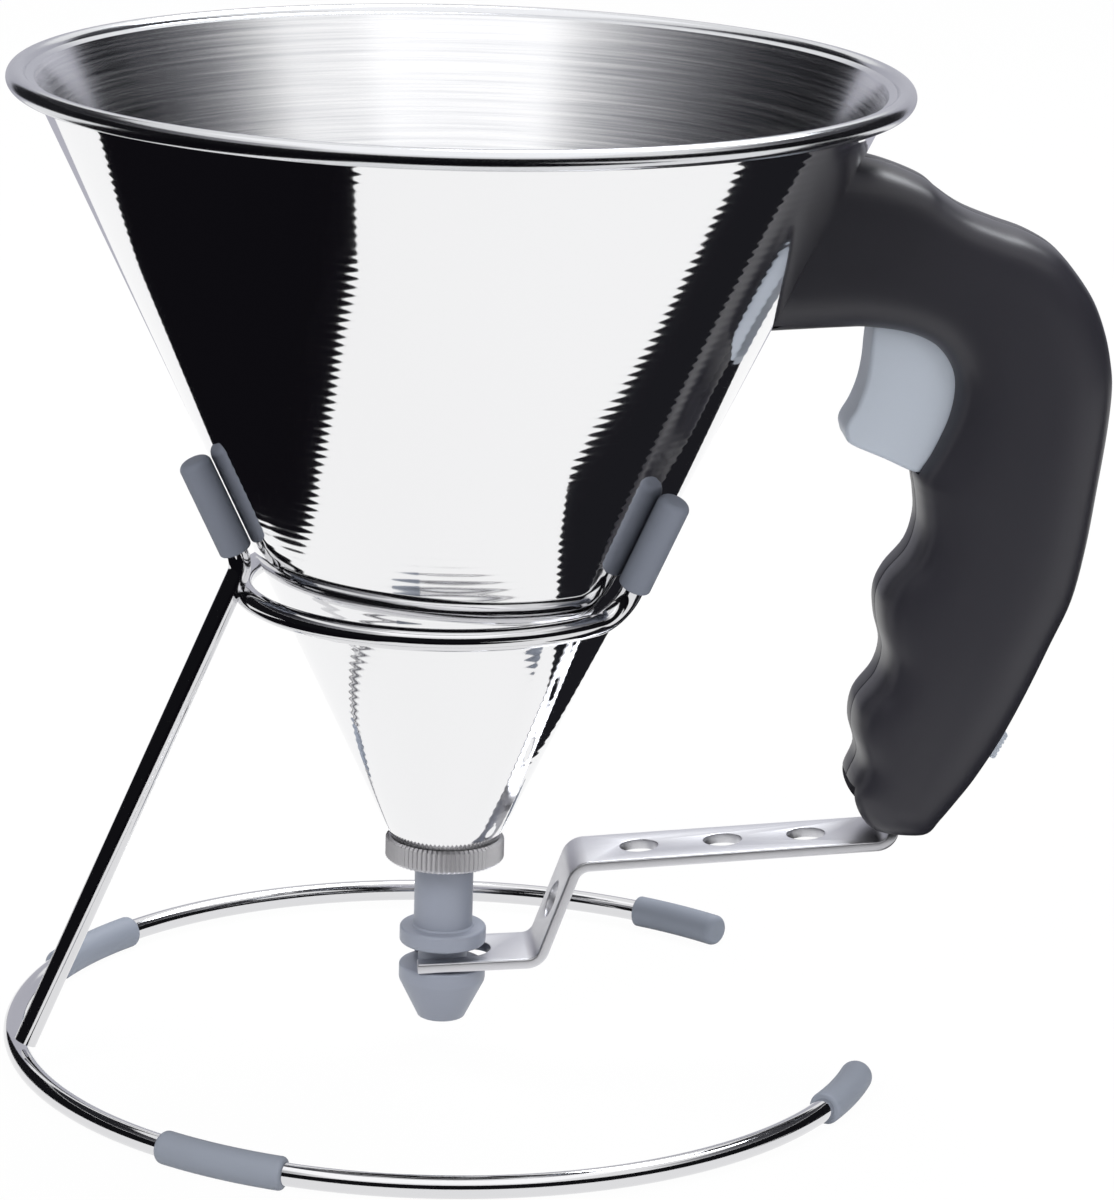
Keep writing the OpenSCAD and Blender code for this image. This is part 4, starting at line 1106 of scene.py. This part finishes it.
def soft_lamp(name, where, size, power, aim):
    bpy.ops.object.light_add(type="AREA", location=where)
    lamp = bpy.context.object
    lamp.name = name
    lamp.data.shape = "RECTANGLE"
    lamp.data.size, lamp.data.size_y = size
    lamp.data.energy = power
    lamp.rotation_euler = (Vector(aim) - Vector(where)).to_track_quat("-Z", "Y").to_euler()
    return lamp


middle = place(18, 0, 90)


def from_view(right, ahead, up):
    """A point in metres from the object's middle, along the camera's level axes."""
    return middle + view_right * right + view_ahead * ahead + Vector((0, 0, up))


# The two front lamps stay out of the reflections, where the white studio shows instead
soft_lamp("key_lamp", from_view(-0.55, -1.0, 0.95), (0.7, 0.7), 11, middle).visible_glossy = False
soft_lamp("fill_lamp", from_view(0.75, -0.9, 0.7), (0.7, 0.7), 4, middle).visible_glossy = False
top_lamp = soft_lamp("top_lamp", from_view(0.35, 0.55, 1.05), (0.8, 0.5), 13, middle)
top_lamp.data.color = (0.93, 0.96, 1.0)


def floor_card(name, outline, shade):
    """A card just over the floor, through (right, ahead) in millimetres about the funnel's axis."""
    points = [place(0, 0, 0.3) + view_right * (r * MM) + view_ahead * (a * MM) for r, a in outline]
    card = from_points(name, points, [tuple(range(len(points)))])
    only_in_steel(card, [shade] * len(points))


def wall_card(name, shades, distance, low, high):
    """An upright curved card, shaded along its length: (azimuth, shade), with 0 away from the camera."""
    points, codes = [], []
    for (az0, code0), (az1, code1) in zip(shades[:-1], shades[1:]):
        count = max(1, round(abs(az1 - az0) / 4))
        for k in range(count + (az1 == shades[-1][0])):
            a = radians(az0 + (az1 - az0) * k / count)
            tone = [x + (y - x) * k / count for x, y in zip(linear(code0), linear(code1))]
            for up in (low, high):
                points.append(from_view(distance * sin(a), distance * cos(a), up))
                codes.append(tone)
    faces = [(2 * i, 2 * i + 2, 2 * i + 3, 2 * i + 1) for i in range(len(points) // 2 - 1)]
    only_in_steel(from_points(name, points, faces), codes)


def only_in_steel(card, shades):
    """Gives a studio card its shades as a glow and hides it from all but glossy surfaces: a painted
    reflection.
    """
    tones = card.data.color_attributes.new("shade", "FLOAT_COLOR", "POINT")
    for tone, shade in zip(tones.data, shades):
        tone.color = linear(shade) if isinstance(shade, str) else shade
    material = bpy.data.materials.new(card.name + "_painted_reflection")
    material.use_nodes = True
    paint = add(material, "ShaderNodeAttribute", {"attribute_name": "shade"})
    glow = add(material, "ShaderNodeEmission", links={"Color": (paint, "Color")})
    feed(material.node_tree.nodes["Material Output"], "Surface", glow)
    card.data.materials.append(material)
    card.visible_camera = card.visible_diffuse = card.visible_shadow = card.visible_transmission = False
    card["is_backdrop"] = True


# The flags, sweep and walls below are painted reflections: glowing dark and grey sheets that only glossy
# surfaces mirror and that cast no shade
floor_card("left_flag", [
    (300, -900), (260, -178), (-20, -178), (-70, -176), (-80, -144), (-77, -126), (-88, -103), (-95, -80),
    (-104, -50), (-115, 8), (-121, 28), (-131, 64), (-134, 140), (-143, 181), (-149, 184), (-173, 185),
    (-196, 189), (-219, 195), (-243, 176), (-264, 146), (-420, 60), (-900, -60), (-900, -900)], "#0f0e12")
floor_card("right_flag", [
    (87, -44), (92, -58), (108, -55), (133, -43), (158, -32), (179, -25), (198, -19), (218, -12), (700, 60),
    (700, 260), (62, 200), (62, 43), (74, 18), (84, 0)], "#1c1c20")
floor_card("far_sweep", [(-1500, 430), (1500, 430), (1500, 1600), (-1500, 1600)], "#b4b4be")
wall_card("horizon", [(-60, "#c0c0c9"), (60, "#c0c0c9")], 1.6, -0.09, 0.7)
wall_card("low_wall", [(36, "#141417"), (324, "#141417")], 0.8, -0.089, 0.4)
wall_card("near_wall", [
    (130, "#f0f0f0"), (142, "#141417"), (206, "#141417"), (216, "#f0f0f0")], 0.8, 0.4, 0.46)
wall_card("right_wall", [
    (30, "#3a3a3e"), (72, "#47474b"), (91, "#7b7b7f"), (104, "#b6b6b8"), (116, "#f0f0f0")], 0.75, 0.38, 0.75)
wall_card("left_wall", [
    (214, "#f0f0f0"), (225, "#b8b8bb"), (241, "#909094"), (262, "#5e5e62"), (284, "#28282c"),
    (330, "#28282c")], 0.75, 0.38, 0.75)


# A glowing sheet overhead, brighter than white, seen only in reflections: a painted reflection that the
# inside of the cone and the top of the rim mirror
corners = [from_view(r, a, 1.25) for r, a in ((-0.7, -1.3), (0.7, -1.3), (0.7, 0.5), (-0.7, 0.5))]
only_in_steel(from_points("ceiling", corners, [(0, 1, 2, 3)]), [(1.3, 1.3, 1.3, 1)] * 4)

bpy.context.scene.view_settings.view_transform = "Standard"
bpy.context.view_layer.update()
low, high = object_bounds()
